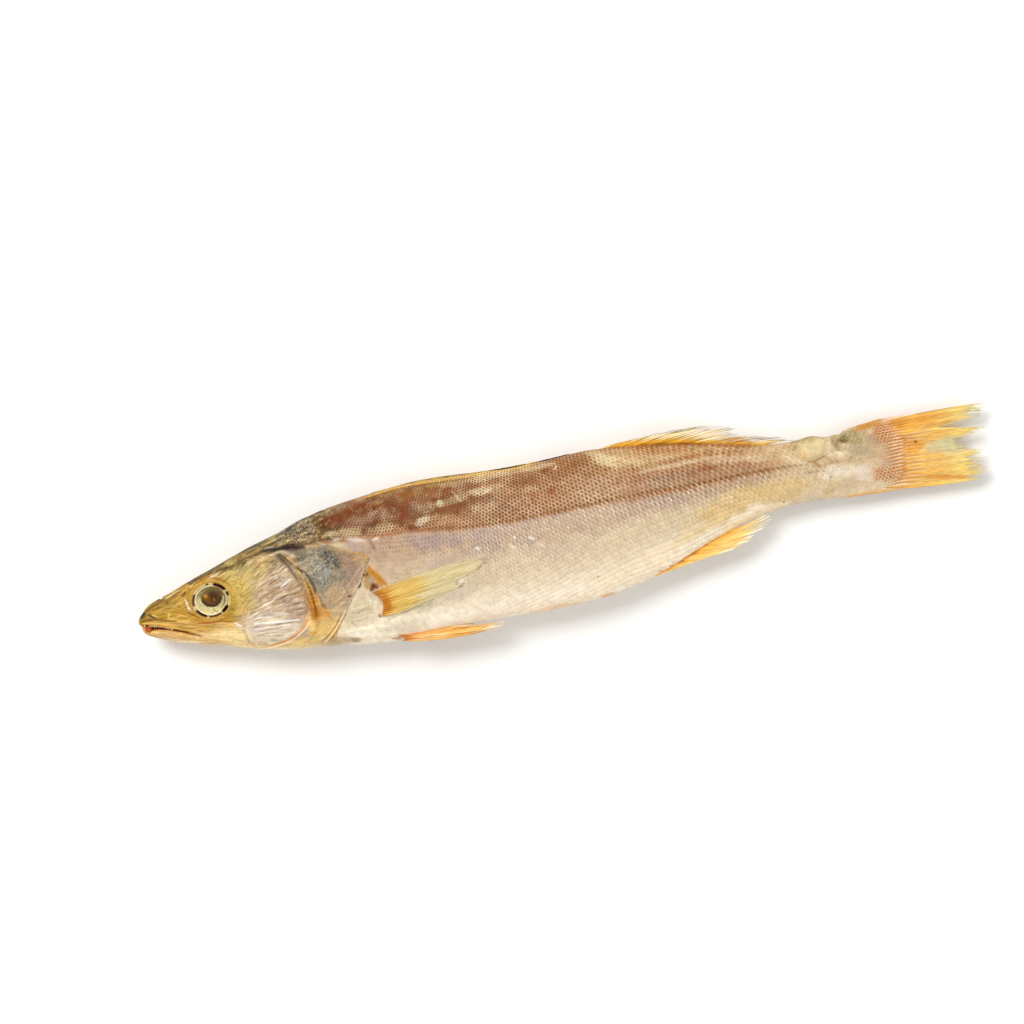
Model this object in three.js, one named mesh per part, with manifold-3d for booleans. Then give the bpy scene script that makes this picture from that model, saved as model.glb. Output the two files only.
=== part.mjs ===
// A dried, salted zander (pikeperch), whole, lying on its right side with the left flank up.
//
// Everything is in millimetres. "along" runs from the tip of the snout towards the tail,
// "height" runs from the level of the snout towards the back of the fish, and "up" is the
// distance above the surface that the fish lies on. The fish is one solid: head, body, eyes
// and all its fins are joined into a single closed shape.
import * as THREE from 'three';
import { mergeVertices } from 'three/addons/utils/BufferGeometryUtils.js';
import Module from 'manifold-3d';

const wasm = await Module();
wasm.setup();

// ---- Driving dimensions ----
const snoutTip = 0;
const fleshEnd = 314;          // where the flesh runs out between the rays of the tail fin
const headEnd = 100;           // the head carries a finer mesh than the rest of the body
const originAlong = 175.5;     // middle of the fish's bounding box, from the snout tip
const originHeight = -3.9;
const stationsOnHead = 36;
const stationsOnTrunk = 32;
const ringOnHead = 52;         // points round the head; the trunk has half as many
const ringOnTrunk = ringOnHead / 2;

// Side view, as [along, height]
const backPoints = [
  [0, -0.6], [2, 1.5], [5, 3.9], [11, 5.9], [20, 8.6], [35, 13.3], [50, 17.7], [62, 20.7],
  [75, 24.3], [90, 26.6], [106, 27.9], [125, 27.7], [150, 25.6], [162, 24.7], [190, 25.0],
  [200, 23.8], [220, 20.2], [240, 16.3], [258, 11.6], [270, 10.2], [279, 9.9], [286, 8.8],
  [296, 10.1], [306, 10.9], [316, 10.6],
];
const bellyPoints = [
  [0, -3.4], [1, -6.0], [2, -7.3], [5, -9.1], [15, -13.4], [30, -18.3], [45, -23.1],
  [60, -26.6], [72, -27.9], [85, -30.4], [98, -32.2], [112, -31.8], [128, -31.9],
  [145, -32.9], [166, -34.2], [190, -33.0], [205, -30.2], [220, -25.4], [235, -20.3],
  [255, -15.5], [270, -14.9], [290, -16.9], [305, -18.2], [316, -18.6],
];
// Half the thickness from flank to flank, as [along, half]
const halfThicknessPoints = [
  [0, 1.7], [3, 3.0], [10, 4.6], [20, 6.3], [32, 8.4], [48, 10.6], [66, 12.8], [84, 13.9],
  [104, 14.7], [122, 15.0], [150, 14.7], [172, 13.6], [195, 11.6], [230, 8.6], [258, 6.7],
  [275, 5.6], [292, 4.2], [304, 2.8], [316, 1.3],
];
// Level of the middle plane, as [along, up]: the stiff body rests on its widest part
const restingLevel = 13.9;
const middlePlanePoints = [
  [0, 12.6], [50, 13.6], [100, restingLevel], [160, restingLevel], [200, 12.7],
  [240, 10.9], [290, 8.6], [320, 7.4], [355, 6.0],
];
const thickestShare = 0.24;    // the back is fuller than the belly by this share
const headBoxiness = 2.5;      // exponent of the section: the sides of the head are flatter
const bodyBoxiness = 2.0;

// Eye and the raised rim of its socket
const eyeAlong = 30.6;
const eyeHeight = 0.4;
const eyeballRadius = 6.9;
const pupilRadius = 4.1;
const socketRadius = 7.6;
const rimRadius = 8.9;
const rimRise = 0.9;
const socketDepth = 1.1;

// Cheek bone behind the eye: a raised band on an oval arc
const cheekAlong = 50;
const cheekHeight = -5;
const cheekHalfLength = 18.5;
const cheekHalfHeight = 19;
const cheekBandWidth = 0.24;   // as a share of the oval
const cheekBandRise = 0.9;

// Gill cover: its free edge as [height, along] from the throat up to its hind tip
const gillEdgePoints = [
  [-31, 68], [-27.4, 72], [-22.3, 77.7], [-18.5, 80.8], [-14.6, 83.5], [-10.8, 86.5],
  [-6.9, 90], [-3.8, 92], [0, 94.2], [3.5, 96],
];
// and its upper edge as [along, height], from the nape to the same tip
const gillTopPoints = [
  [50, 15.5], [62, 14], [73, 12.7], [77.7, 13], [83, 10.8], [88.5, 7.3], [93.5, 5.4], [97, 3],
];
const gillCoverRise = 0.9;
const gillGrooveDepth = 1.1;
const gillGrooveWidth = 2.4;

// Fold and lump in front of the tail fin
const lumpAlong = 279;
const lumpHeight = 5;
const lumpRadius = 6.5;
const lumpRise = 1.3;

// Mouth: the open wedge between the jaws, as [along, height]
const mouthWedge = [
  [-3, -3.1], [1.6, -3.4], [6, -4.5], [10, -6.1], [15, -8.3], [20, -10.7], [23.5, -12.8],
  [20, -11.5], [15, -9.1], [10, -7.4], [6, -6.5], [3.2, -5.9], [-3, -5.5],
];
const mouthLiningStart = 1.1;
const mouthLiningEnd = 26;
const mouthLiningHalfFront = 1.0;
const mouthLiningHalfBack = 4.6;

const skinColor = 0xc9ad8d;

// ---- Small helpers ----
/** A smooth curve through [position, value] pairs, as a function of the position. */
function curveThrough(pairs) {
  const positions = pairs.map((pair) => pair[0]);
  const values = pairs.map((pair) => pair[1]);
  const interpolant = new THREE.CubicInterpolant(positions, values, 1);
  const last = positions[positions.length - 1];
  return (position) => interpolant.evaluate(THREE.MathUtils.clamp(position, positions[0], last))[0];
}

/** A smooth rise from 0 to 1 as the value goes from start to end. */
function rise(value, start, end) {
  return THREE.MathUtils.smoothstep(value, start, end);
}

/** A bell of height 1 round the centre. */
function bell(value, centre, width) {
  const share = (value - centre) / width;
  return Math.exp(-share * share);
}

const backLine = curveThrough(backPoints);
const bellyLine = curveThrough(bellyPoints);
const halfThickness = curveThrough(halfThicknessPoints);
const middlePlane = curveThrough(middlePlanePoints);
const gillEdge = curveThrough(gillEdgePoints);
const gillTop = curveThrough(gillTopPoints);

/** A BufferGeometry from flat lists of coordinates and of triangle corners. */
function geometryFrom(coordinates, corners) {
  const geometry = new THREE.BufferGeometry();
  geometry.setAttribute('position', new THREE.Float32BufferAttribute(coordinates, 3));
  geometry.setIndex(corners);
  return geometry;
}

/** A closed geometry as a solid that can be joined and cut. */
function solidOf(geometry) {
  const bare = geometry.clone();
  bare.deleteAttribute('normal');
  bare.deleteAttribute('uv');
  const merged = mergeVertices(bare, 1e-4);
  return new wasm.Manifold(new wasm.Mesh({
    numProp: 3,
    vertProperties: new Float32Array(merged.attributes.position.array),
    triVerts: new Uint32Array(merged.index.array),
  }));
}

// ---- Relief of the flanks ----
function eyeSocketRelief(along, height) {
  const distance = Math.hypot(along - eyeAlong, height - eyeHeight);
  const rim = rimRise * bell(distance, rimRadius, 1.7);
  const hollow = socketDepth * (1 - rise(distance, socketRadius - 1.4, socketRadius + 0.6));
  return rim - hollow;
}

function cheekBandRelief(along, height) {
  const across = (along - cheekAlong) / cheekHalfLength;
  const upward = (height - cheekHeight) / cheekHalfHeight;
  const oval = Math.hypot(across, upward);
  const onArc = rise(across + 0.35 * upward, -0.55, -0.2);
  const step = rise(oval, 0.94, 1.02) * (1 - rise(oval, 1.02 + cheekBandWidth, 1.12 + cheekBandWidth));
  return cheekBandRise * step * onArc;
}

function gillCoverRelief(along, height) {
  const behind = along - gillEdge(height);
  const above = height - gillTop(along);
  const outside = Math.max(behind, above * 0.9);
  const cover = (1 - rise(outside, -2.2, 1.6)) * rise(along, 62, 74);
  const groove = bell(outside, 2, gillGrooveWidth) * rise(along, 66, 74);
  return gillCoverRise * cover - gillGrooveDepth * groove;
}

function tailLumpRelief(along, height) {
  const distance = Math.hypot(along - lumpAlong, (height - lumpHeight) * 0.8);
  const lump = lumpRise * (1 - rise(distance, 0.4 * lumpRadius, lumpRadius + 1.5));
  const fold = -0.9 * bell(along, 287.4 + 0.3 * height, 1.4) * rise(height, -6, -1);
  return lump + fold;
}

function flankRelief(along, height) {
  return eyeSocketRelief(along, height)
    + cheekBandRelief(along, height)
    + gillCoverRelief(along, height)
    + tailLumpRelief(along, height);
}

// ---- Body ----
/** Share of the half thickness at a share of the height, from -1 at the belly to 1 at the back. */
function sectionShape(share, along) {
  const boxiness = THREE.MathUtils.lerp(headBoxiness, bodyBoxiness, rise(along, 50, 120));
  const round = Math.sqrt(Math.max(0, 1 - Math.abs(share) ** boxiness));
  return round * (1 + thickestShare * rise(along, 20, 110) * share);
}

/** Level of a flank at a place in the side view: side 1 is the upper flank, -1 the lower. */
function flankLevel(along, height, side) {
  const top = backLine(along);
  const bottom = bellyLine(along);
  const share = THREE.MathUtils.clamp((2 * height - top - bottom) / (top - bottom), -1, 1);
  const inside = rise(1 - Math.abs(share), 0, 0.12);
  const out = halfThickness(along) * sectionShape(share, along) + inside * flankRelief(along, height);
  return Math.max(0, middlePlane(along) + side * out);
}

/** One ring of the body: from the back down the upper flank to the belly, and up the lower one. */
function ringPoints(along, count) {
  const top = backLine(along);
  const bottom = bellyLine(along);
  const points = [];
  for (let i = 0; i < count; i += 1) {
    const angle = (2 * Math.PI * i) / count;
    const share = Math.cos(angle);
    const height = (top + bottom) / 2 + ((top - bottom) / 2) * share;
    const side = Math.sin(angle) >= 0 ? 1 : -1;
    const onOutline = Math.abs(Math.sin(angle)) < 1e-6;
    const level = onOutline ? middlePlane(along) : flankLevel(along, height, side);
    points.push([along, height, level]);
  }
  return points;
}

/** Join two rings; the second may have half as many points as the first. */
function bandCorners(firstStart, firstCount, secondStart, secondCount) {
  const corners = [];
  const step = firstCount / secondCount;
  for (let i = 0; i < secondCount; i += 1) {
    const c = secondStart + i;
    const d = secondStart + ((i + 1) % secondCount);
    const ring = [];
    for (let k = 0; k <= step; k += 1) {
      ring.push(firstStart + ((i * step + k) % firstCount));
    }
    const middle = Math.floor(step / 2);
    for (let k = 0; k < step; k += 1) {
      corners.push(ring[k], ring[k + 1], k < middle || step === 1 ? c : d);
      if (k === Math.max(0, middle - 1) && step > 1) {
        corners.push(c, ring[k + 1], d);
      }
    }
    if (step === 1) {
      corners.push(c, ring[1], d);
    }
  }
  return corners;
}

function bodySolid() {
  const stations = [];
  for (let i = 0; i <= stationsOnHead; i += 1) {
    const share = i / stationsOnHead;
    stations.push([snoutTip + headEnd * share ** 1.18, ringOnHead]);
  }
  for (let i = 1; i <= stationsOnTrunk; i += 1) {
    const share = i / stationsOnTrunk;
    stations.push([headEnd + (fleshEnd - headEnd) * share ** 0.93, ringOnTrunk]);
  }
  const coordinates = [];
  const corners = [];
  const starts = [];
  for (const [along, count] of stations) {
    starts.push(coordinates.length / 3);
    ringPoints(along, count).forEach((point) => coordinates.push(...point));
  }
  for (let i = 0; i + 1 < stations.length; i += 1) {
    corners.push(...bandCorners(starts[i], stations[i][1], starts[i + 1], stations[i + 1][1]));
  }
  closeEnd(coordinates, corners, starts[0], ringOnHead, -1);
  closeEnd(coordinates, corners, starts[starts.length - 1], ringOnTrunk, 1);
  return solidOf(geometryFrom(coordinates, corners));
}

/** Close a ring with a fan to its middle; direction -1 at the snout, 1 at the tail. */
function closeEnd(coordinates, corners, start, count, direction) {
  const middle = [0, 0, 0];
  for (let i = 0; i < count; i += 1) {
    for (let k = 0; k < 3; k += 1) {
      middle[k] += coordinates[3 * (start + i) + k] / count;
    }
  }
  const centre = coordinates.length / 3;
  coordinates.push(...middle);
  for (let i = 0; i < count; i += 1) {
    const a = start + i;
    const b = start + ((i + 1) % count);
    corners.push(...(direction > 0 ? [a, b, centre] : [b, a, centre]));
  }
}

// ---- Mouth ----
/** The gap between the jaws, open at the front and at both sides round a lining inside. */
function mouthSolid() {
  const wedge = new THREE.Shape(mouthWedge.map(([along, height]) => new THREE.Vector2(along, height)));
  const gap = new THREE.ExtrudeGeometry(wedge, { depth: 40, bevelEnabled: false });
  gap.translate(0, 0, -5);
  const plan = new THREE.Shape([
    new THREE.Vector2(mouthLiningStart, -mouthLiningHalfFront),
    new THREE.Vector2(mouthLiningEnd, -mouthLiningHalfBack),
    new THREE.Vector2(mouthLiningEnd, mouthLiningHalfBack),
    new THREE.Vector2(mouthLiningStart, mouthLiningHalfFront),
  ]);
  const lining = new THREE.ExtrudeGeometry(plan, { depth: 20, bevelEnabled: false });
  lining.rotateX(Math.PI / 2);
  lining.translate(0, 2, middlePlane(10));
  return solidOf(gap).subtract(solidOf(lining));
}

// ---- Eyes ----
/** An eyeball: a low dome with a raised pupil, sunk into its socket along the flank's normal. */
function eyeSolid(side) {
  const profile = [
    [0, -3.5], [5.2, -3.5], [eyeballRadius, -1.4], [eyeballRadius - 0.3, -0.35],
    [5.6, 0.15], [pupilRadius + 0.35, 0.35], [pupilRadius, 0.75], [2.2, 1.0], [0, 1.05],
  ];
  const dome = new THREE.LatheGeometry(profile.map(([r, y]) => new THREE.Vector2(r, y)), 22);
  const step = 5;
  const ahead = flankLevel(eyeAlong - step * 2, eyeHeight, side);
  const behind = flankLevel(eyeAlong + step * 2, eyeHeight, side);
  const above = flankLevel(eyeAlong, eyeHeight + step * 2, side);
  const below = flankLevel(eyeAlong, eyeHeight - step * 2, side);
  const normal = new THREE.Vector3(ahead - behind, below - above, step * 4).normalize();
  if (side < 0) {
    normal.negate();
  }
  dome.applyQuaternion(new THREE.Quaternion().setFromUnitVectors(new THREE.Vector3(0, 1, 0), normal));
  dome.translate(eyeAlong, eyeHeight, flankLevel(eyeAlong, eyeHeight, side) + side * 0.35);
  return solidOf(dome);
}

// ---- Fins ----
/**
 * A fin as a thin wavy solid. Its rays run from the root curve to the tip curve; between two
 * rays the membrane is thinner and ends a little short. Both faces are split alike.
 */
function finSolid({ root, tip, rays, rows, rootHalf, tipHalf, bow = 0, fray = 0.8, level }) {
  const rootCurve = new THREE.SplineCurve(root.map(([x, y]) => new THREE.Vector2(x, y)));
  const tipCurve = new THREE.SplineCurve(tip.map(([x, y]) => new THREE.Vector2(x, y)));
  const columns = 2 * rays - 1;
  const coordinates = [];
  const corners = [];
  const index = (face, column, row) => (face * columns + column) * (rows + 1) + row;
  for (let face = 0; face < 2; face += 1) {
    for (let column = 0; column < columns; column += 1) {
      const onRay = column % 2 === 0;
      const share = column / (columns - 1);
      const from = rootCurve.getPoint(share);
      const to = tipCurve.getPoint(share);
      const ragged = fray * Math.sin(column * 2.4 + rays) * Math.cos(column * 0.9);
      const length = from.distanceTo(to);
      const reach = 1 + (onRay ? ragged : ragged - 1.3 * fray) / Math.max(length, 1);
      const sideways = new THREE.Vector2(from.y - to.y, to.x - from.x).normalize();
      for (let row = 0; row <= rows; row += 1) {
        const out = (row / rows) * reach;
        const place = from.clone().lerp(to, out).addScaledVector(sideways, bow * 4 * out * (1 - out));
        const half = THREE.MathUtils.lerp(rootHalf, tipHalf, row / rows) * (onRay ? 1 : 0.6);
        const middle = level(place.x, place.y, row / rows);
        coordinates.push(place.x, place.y, Math.max(0, middle + (face === 0 ? half : -half)));
      }
    }
  }
  for (let column = 0; column + 1 < columns; column += 1) {
    for (let row = 0; row < rows; row += 1) {
      const a = index(0, column, row);
      const b = index(0, column, row + 1);
      const c = index(0, column + 1, row + 1);
      const d = index(0, column + 1, row);
      const under = columns * (rows + 1);
      corners.push(a, b, c, a, c, d);
      corners.push(a + under, c + under, b + under, a + under, d + under, c + under);
    }
  }
  const rim = finRim(columns, rows);
  rim.forEach(([column, row], i) => {
    const [nextColumn, nextRow] = rim[(i + 1) % rim.length];
    const a = index(0, column, row);
    const b = index(0, nextColumn, nextRow);
    const c = index(1, nextColumn, nextRow);
    const d = index(1, column, row);
    corners.push(a, c, b, a, d, c);
  });
  return facingOut(geometryFrom(coordinates, corners));
}

/** The [column, row] places round the edge of a fin, in order. */
function finRim(columns, rows) {
  const lastColumn = columns - 1;
  const rim = [];
  for (let row = 0; row < rows; row += 1) {
    rim.push([0, row]);
  }
  for (let column = 0; column < lastColumn; column += 1) {
    rim.push([column, rows]);
  }
  for (let row = rows; row > 0; row -= 1) {
    rim.push([lastColumn, row]);
  }
  for (let column = lastColumn; column > 0; column -= 1) {
    rim.push([column, 0]);
  }
  return rim;
}

/** A solid from a closed geometry whose triangles may all face the wrong way. */
function facingOut(geometry) {
  const position = geometry.attributes.position;
  const corner = geometry.index.array;
  const a = new THREE.Vector3();
  const b = new THREE.Vector3();
  const c = new THREE.Vector3();
  let volume = 0;
  for (let i = 0; i < corner.length; i += 3) {
    a.fromBufferAttribute(position, corner[i]);
    b.fromBufferAttribute(position, corner[i + 1]);
    c.fromBufferAttribute(position, corner[i + 2]);
    volume += a.dot(b.cross(c));
  }
  if (volume < 0) {
    for (let i = 0; i < corner.length; i += 3) {
      [corner[i + 1], corner[i + 2]] = [corner[i + 2], corner[i + 1]];
    }
  }
  return solidOf(geometry);
}

/** Level of the fins in the middle plane, with a slow wave that grows towards the tips. */
function middleFinLevel(wave, pitch) {
  return (along, height, out) => middlePlane(along) + wave * out * Math.sin((along + height) / pitch);
}

function firstDorsalFin() {
  return finSolid({
    root: [[99, 25.8], [120, 26.2], [145, 24.2], [172, 23]],
    tip: [[106, 28.9], [126, 28.9], [155, 26.2], [184, 25.5]],
    rays: 12,
    rows: 2,
    rootHalf: 1.5,
    tipHalf: 0.55,
    fray: 0.2,
    level: middleFinLevel(0.3, 9),
  });
}

function secondDorsalFin() {
  return finSolid({
    root: [[190, 23.5], [205, 21.3], [220, 18.4], [235, 15.4], [248, 12], [260, 9.4]],
    tip: [[196, 25.7], [214, 25.8], [232, 24.9], [246, 22], [252, 17.8], [263, 13.6], [275, 10]],
    rays: 20,
    rows: 4,
    rootHalf: 1.1,
    tipHalf: 0.45,
    level: middleFinLevel(0.9, 7),
  });
}

function analFin() {
  return finSolid({
    root: [[206, -28.3], [215, -25.6], [224, -22.4], [233, -19]],
    tip: [[210, -29.9], [226, -28], [242, -26.4], [252, -22], [255.5, -17]],
    rays: 13,
    rows: 4,
    rootHalf: 1.1,
    tipHalf: 0.45,
    level: middleFinLevel(0.8, 6),
  });
}

function tailFin() {
  return finSolid({
    root: [[297, 10.2], [306, 7.5], [311, 2], [312, -4], [309, -11], [298, -17.4]],
    tip: [
      [351, 8.4], [349, 5], [339, 2.9], [334.5, 1.6], [346, -1.6], [338.5, -5.2],
      [341.5, -8.5], [344, -12.5], [345.5, -17], [341.5, -22],
    ],
    rays: 19,
    rows: 7,
    rootHalf: 1.5,
    tipHalf: 0.5,
    bow: 0.5,
    fray: 1,
    level: middleFinLevel(1, 8),
  });
}

/** A fin that lies back along a flank, sunk a little into it so that no gap is left behind it. */
function pectoralFin(side) {
  return finSolid({
    root: [[94.5, -11], [97, -15.5], [95.5, -21.2]],
    tip: [[133, -6.8], [140, -8.6], [138, -12], [130, -16.3], [118, -18.8]],
    rays: 14,
    rows: 5,
    rootHalf: 1.3,
    tipHalf: 0.9,
    fray: 0.7,
    level: (along, height) => flankLevel(along, height, side) + side * 0.2,
  });
}

function pelvicFin(side) {
  return finSolid({
    root: [[99, -29.4], [102.5, -30.8], [102, -32.6]],
    tip: [[128, -31.2], [141, -34.2], [140.5, -36.6], [128, -36.2]],
    rays: 6,
    rows: 6,
    rootHalf: 1.2,
    tipHalf: 0.5,
    fray: 0.6,
    level: (along, height, out) => middlePlane(along) + side * THREE.MathUtils.lerp(3.6, 2.2, out),
  });
}

// ---- The whole fish ----
function fishGeometry() {
  let fish = bodySolid().subtract(mouthSolid());
  const fins = [firstDorsalFin(), secondDorsalFin(), analFin(), tailFin()];
  for (const side of [1, -1]) {
    fins.push(pectoralFin(side), pelvicFin(side), eyeSolid(side));
  }
  for (const fin of fins) {
    fish = fish.add(fin);
  }
  const mesh = fish.getMesh();
  const geometry = geometryFrom(Array.from(mesh.vertProperties), Array.from(mesh.triVerts));
  geometry.translate(-originAlong, -originHeight, 0);
  return geometry;
}

function fishMesh() {
  const material = new THREE.MeshStandardMaterial({ color: skinColor, roughness: 0.55, metalness: 0 });
  const mesh = new THREE.Mesh(fishGeometry(), material);
  mesh.name = 'fish';
  return mesh;
}

const driedFish = new THREE.Group();
driedFish.add(fishMesh());

export default driedFish;
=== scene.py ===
import itertools
import math

import bpy
import numpy as np
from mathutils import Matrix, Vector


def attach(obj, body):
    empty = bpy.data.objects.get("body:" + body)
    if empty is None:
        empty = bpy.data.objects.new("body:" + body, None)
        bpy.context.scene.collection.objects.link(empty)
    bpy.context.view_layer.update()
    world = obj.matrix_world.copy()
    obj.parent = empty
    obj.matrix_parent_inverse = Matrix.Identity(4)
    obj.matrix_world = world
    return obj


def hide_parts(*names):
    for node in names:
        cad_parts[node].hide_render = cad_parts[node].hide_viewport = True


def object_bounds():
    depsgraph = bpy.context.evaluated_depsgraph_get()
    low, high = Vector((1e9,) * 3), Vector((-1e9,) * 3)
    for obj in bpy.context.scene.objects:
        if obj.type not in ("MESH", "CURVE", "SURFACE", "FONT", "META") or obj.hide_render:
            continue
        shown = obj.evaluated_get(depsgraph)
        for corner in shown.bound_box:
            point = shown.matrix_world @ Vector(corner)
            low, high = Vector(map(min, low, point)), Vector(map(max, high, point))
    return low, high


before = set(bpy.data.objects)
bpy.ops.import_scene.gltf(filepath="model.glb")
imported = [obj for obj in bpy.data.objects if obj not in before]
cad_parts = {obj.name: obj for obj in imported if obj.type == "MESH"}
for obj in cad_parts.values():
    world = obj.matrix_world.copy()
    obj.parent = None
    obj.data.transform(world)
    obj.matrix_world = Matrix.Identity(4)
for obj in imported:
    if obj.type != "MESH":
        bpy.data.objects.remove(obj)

# A dried salted zander on its right side. Sizes below are millimetres: "along" from the tip of
# the snout to the tail, "height" from the snout's level up to the back, "level" above the floor.
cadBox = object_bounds()
mm = 0.001
leftSide, rightSide = 1.0, -1.0

fish = {
    "alongOrigin": -cadBox[0][0] / mm,   # the snout is the lowest x of the frame
    "heightOrigin": -3.9,                # height of the frame's y = 0
    "clearance": 0.02,                   # kept above the floor and behind the tip of the snout
    "deepening": 1.2,                    # power that drying lays on the linear colours
    "fleshEnd": 317.0,                   # the body's last ring, inside the tail fin
    "tailRays": 22,                      # rays of the tail fin, which show in the skin at its root
    "scalePitch": 2.35,                  # between scales along the side line
    "back": [(0, -1.3), (0.5, -0.2), (2, 1.5), (5, 3.9), (8, 5.1), (11, 5.9), (15, 6.9), (20, 8.6),
             (35, 13.2), (50, 17.6), (62, 20.6), (75, 24.3), (90, 26.6), (106, 27.9), (125, 27.6),
             (150, 25.5), (162, 24.6), (190, 24.9), (200, 23.8), (220, 20.1), (240, 16.2),
             (258, 11.5), (270, 10.1), (279, 9.9), (286, 8.8), (296, 10.1), (306, 10.8), (318, 10.2)],
    "belly": [(0, -2.9), (0.5, -4.0), (1, -6.0), (2, -7.3), (5, -9.1), (15, -13.4), (30, -18.3),
              (45, -23.0), (60, -26.5), (72, -27.9), (85, -30.4), (98, -32.1), (112, -31.8),
              (128, -31.9), (145, -32.9), (166, -34.1), (190, -33.0), (205, -30.2), (220, -25.3),
              (235, -20.2), (255, -15.5), (270, -14.9), (290, -16.8), (305, -18.0), (318, -18.0)],
    "half": [(0, 0.9), (0.6, 1.7), (3, 3.0), (10, 4.6), (20, 6.3), (32, 8.4), (48, 10.6), (66, 12.6),
             (84, 13.7), (104, 14.4), (122, 14.7), (150, 14.5), (172, 13.4), (195, 11.4),
             (230, 8.4), (258, 6.6), (275, 5.4), (290, 4.2), (300, 3.0), (306, 2.1), (311, 1.15),
             (315, 0.5), (318, 0.25)],
    "middle": [(0, 12.6), (50, 13.6), (100, 13.9), (160, 13.9), (200, 12.7), (240, 10.9),
               (290, 8.6), (320, 7.4), (355, 6.0)],
    "fullBack": 0.24,                    # the section is fuller towards the back by this share
    "lateral": [(55, 15.2), (73, 13.3), (84, 12.7), (90, 11.5), (100, 10.3), (110, 10.0), (120, 8.8),
                (130, 6.8), (140, 5.2), (150, 4.5), (160, 4.0), (180, 3.6), (200, 3.2), (230, 1.8),
                (260, 0.7), (270, 0), (275, -1), (279, -2.6), (285, -2.2), (295, -3.6), (306, -4),
                (318, -4)],
}


# sRGB hex to linear light: the dark end divided by 12.92, the rest raised to the power 2.4
def linearColour(hexText):
    value = np.array([int(hexText[i:i + 2], 16) for i in (1, 3, 5)]) / 255
    return np.where(value <= 0.04045, value / 12.92, ((value + 0.055) / 1.055) ** 2.4)


# drying deepens dark parts and leaves light ones light: linear colour to a power above one
def deepen(colour):
    return 1.07 * np.clip(colour, 0.0005, 1) ** fish["deepening"]


# a cubic through the points, each slope the mean of its neighbours' weighted by the other's length
def smoothCurve(points):
    xs, ys = np.array(points, float).T
    steps = np.diff(xs)
    slopes = np.diff(ys) / steps
    tangents = np.concatenate([slopes[:1], slopes])
    tangents[1:-1] = (slopes[:-1] * steps[1:] + slopes[1:] * steps[:-1]) / (steps[:-1] + steps[1:])

    def evaluate(x):
        x = np.clip(x, xs[0], xs[-1])
        i = np.clip(np.searchsorted(xs, x, side="right") - 1, 0, len(xs) - 2)
        t = (x - xs[i]) / steps[i]
        rest = 1 - t
        return (ys[i] * (1 + 2 * t) * rest ** 2 + tangents[i] * steps[i] * t * rest ** 2
                + ys[i + 1] * (3 - 2 * t) * t ** 2 - tangents[i + 1] * steps[i] * rest * t ** 2)
    return evaluate


# a plane curve through the points, with the share of the way counted by points
def planeCurve(points):
    ticks = np.linspace(0, 1, len(points))
    a = smoothCurve([(t, p[0]) for t, p in zip(ticks, points)])
    b = smoothCurve([(t, p[1]) for t, p in zip(ticks, points)])
    return lambda share: np.stack([a(share), b(share)], -1)


# smooth rise from 0 to 1 between start and end
def rise(value, start, end):
    t = np.clip((value - start) / (end - start), 0, 1)
    return t * t * (3 - 2 * t)


# a bell of height 1 round the centre
def bell(value, centre, width):
    return np.exp(-((value - centre) / width) ** 2)


# value noise from -1 to 1: seeded random numbers on a grid of the given pitch, blended smoothly
def clouds(a, b, pitch, seed):
    table = np.random.default_rng(seed).uniform(-1, 1, (128, 128))
    u, v = a / pitch, b / pitch
    i, j = np.floor(u).astype(int), np.floor(v).astype(int)
    fu, fv = rise(u - i, 0, 1), rise(v - j, 0, 1)
    i0, i1, j0, j1 = i % 128, (i + 1) % 128, j % 128, (j + 1) % 128
    near = table[i0, j0] * (1 - fu) + table[i1, j0] * fu
    far = table[i0, j1] * (1 - fu) + table[i1, j1] * fu
    return near * (1 - fv) + far * fv


# three layers of clouds, each half as wide and half as strong as the last
def mottle(a, b, pitch, seed):
    return sum(clouds(a, b, pitch / 2 ** k, seed + k) / 2 ** k for k in range(3)) / 1.75


# a soft-edged ellipse, turned by degrees, whose edge wanders with the clouds
def blot(along, height, centre, radii, turn, wander, seed):
    strength = np.zeros(along.shape)
    near = np.hypot(along - centre[0], height - centre[1]) < 1.8 * max(radii)
    a, b = along[near] - centre[0], height[near] - centre[1]
    c, s = math.cos(math.radians(turn)), math.sin(math.radians(turn))
    distance = np.hypot((a * c + b * s) / radii[0], (b * c - a * s) / radii[1])
    distance = distance + wander * mottle(along[near], height[near], 3.6, seed)
    strength[near] = 1 - rise(distance, 0.45, 1.3)
    return strength


# a line's strength: a bell across its width, by the distance to a smooth curve through the
# points, that narrows and fades towards both ends
def stroke(along, height, points, width):
    path = planeCurve(points)(np.linspace(0, 1, 5 * len(points)))
    low, high = path.min(0) - 3 * width, path.max(0) + 3 * width
    near = (along > low[0]) & (along < high[0]) & (height > low[1]) & (height < high[1])
    a, h = along[near], height[near]
    best, share = np.full(a.shape, 1e9), np.zeros(a.shape)
    for k, (first, last) in enumerate(zip(path[:-1], path[1:])):
        run = last - first
        t = np.clip(((a - first[0]) * run[0] + (h - first[1]) * run[1]) / (run @ run + 1e-12), 0, 1)
        distance = np.hypot(a - first[0] - t * run[0], h - first[1] - t * run[1])
        nearer = distance < best
        best = np.where(nearer, distance, best)
        share = np.where(nearer, (k + t) / (len(path) - 1), share)
    strength = np.zeros(along.shape)
    strength[near] = (bell(best, 0, width * (0.55 + 0.45 * np.sin(math.pi * share)))
                      * rise(share, -0.02, 0.1) * rise(1 - share, -0.02, 0.1))
    return strength


# move a tint towards a colour by an amount for each place
def blend(tint, hexText, amount):
    return tint + (linearColour(hexText) - tint) * np.clip(amount, 0, 1)[..., None]


# lay colours over a tint one after another, each with its amount
def layOver(tint, *layers):
    for hexText, amount in layers:
        tint = blend(tint, hexText, amount)
    return tint


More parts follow.
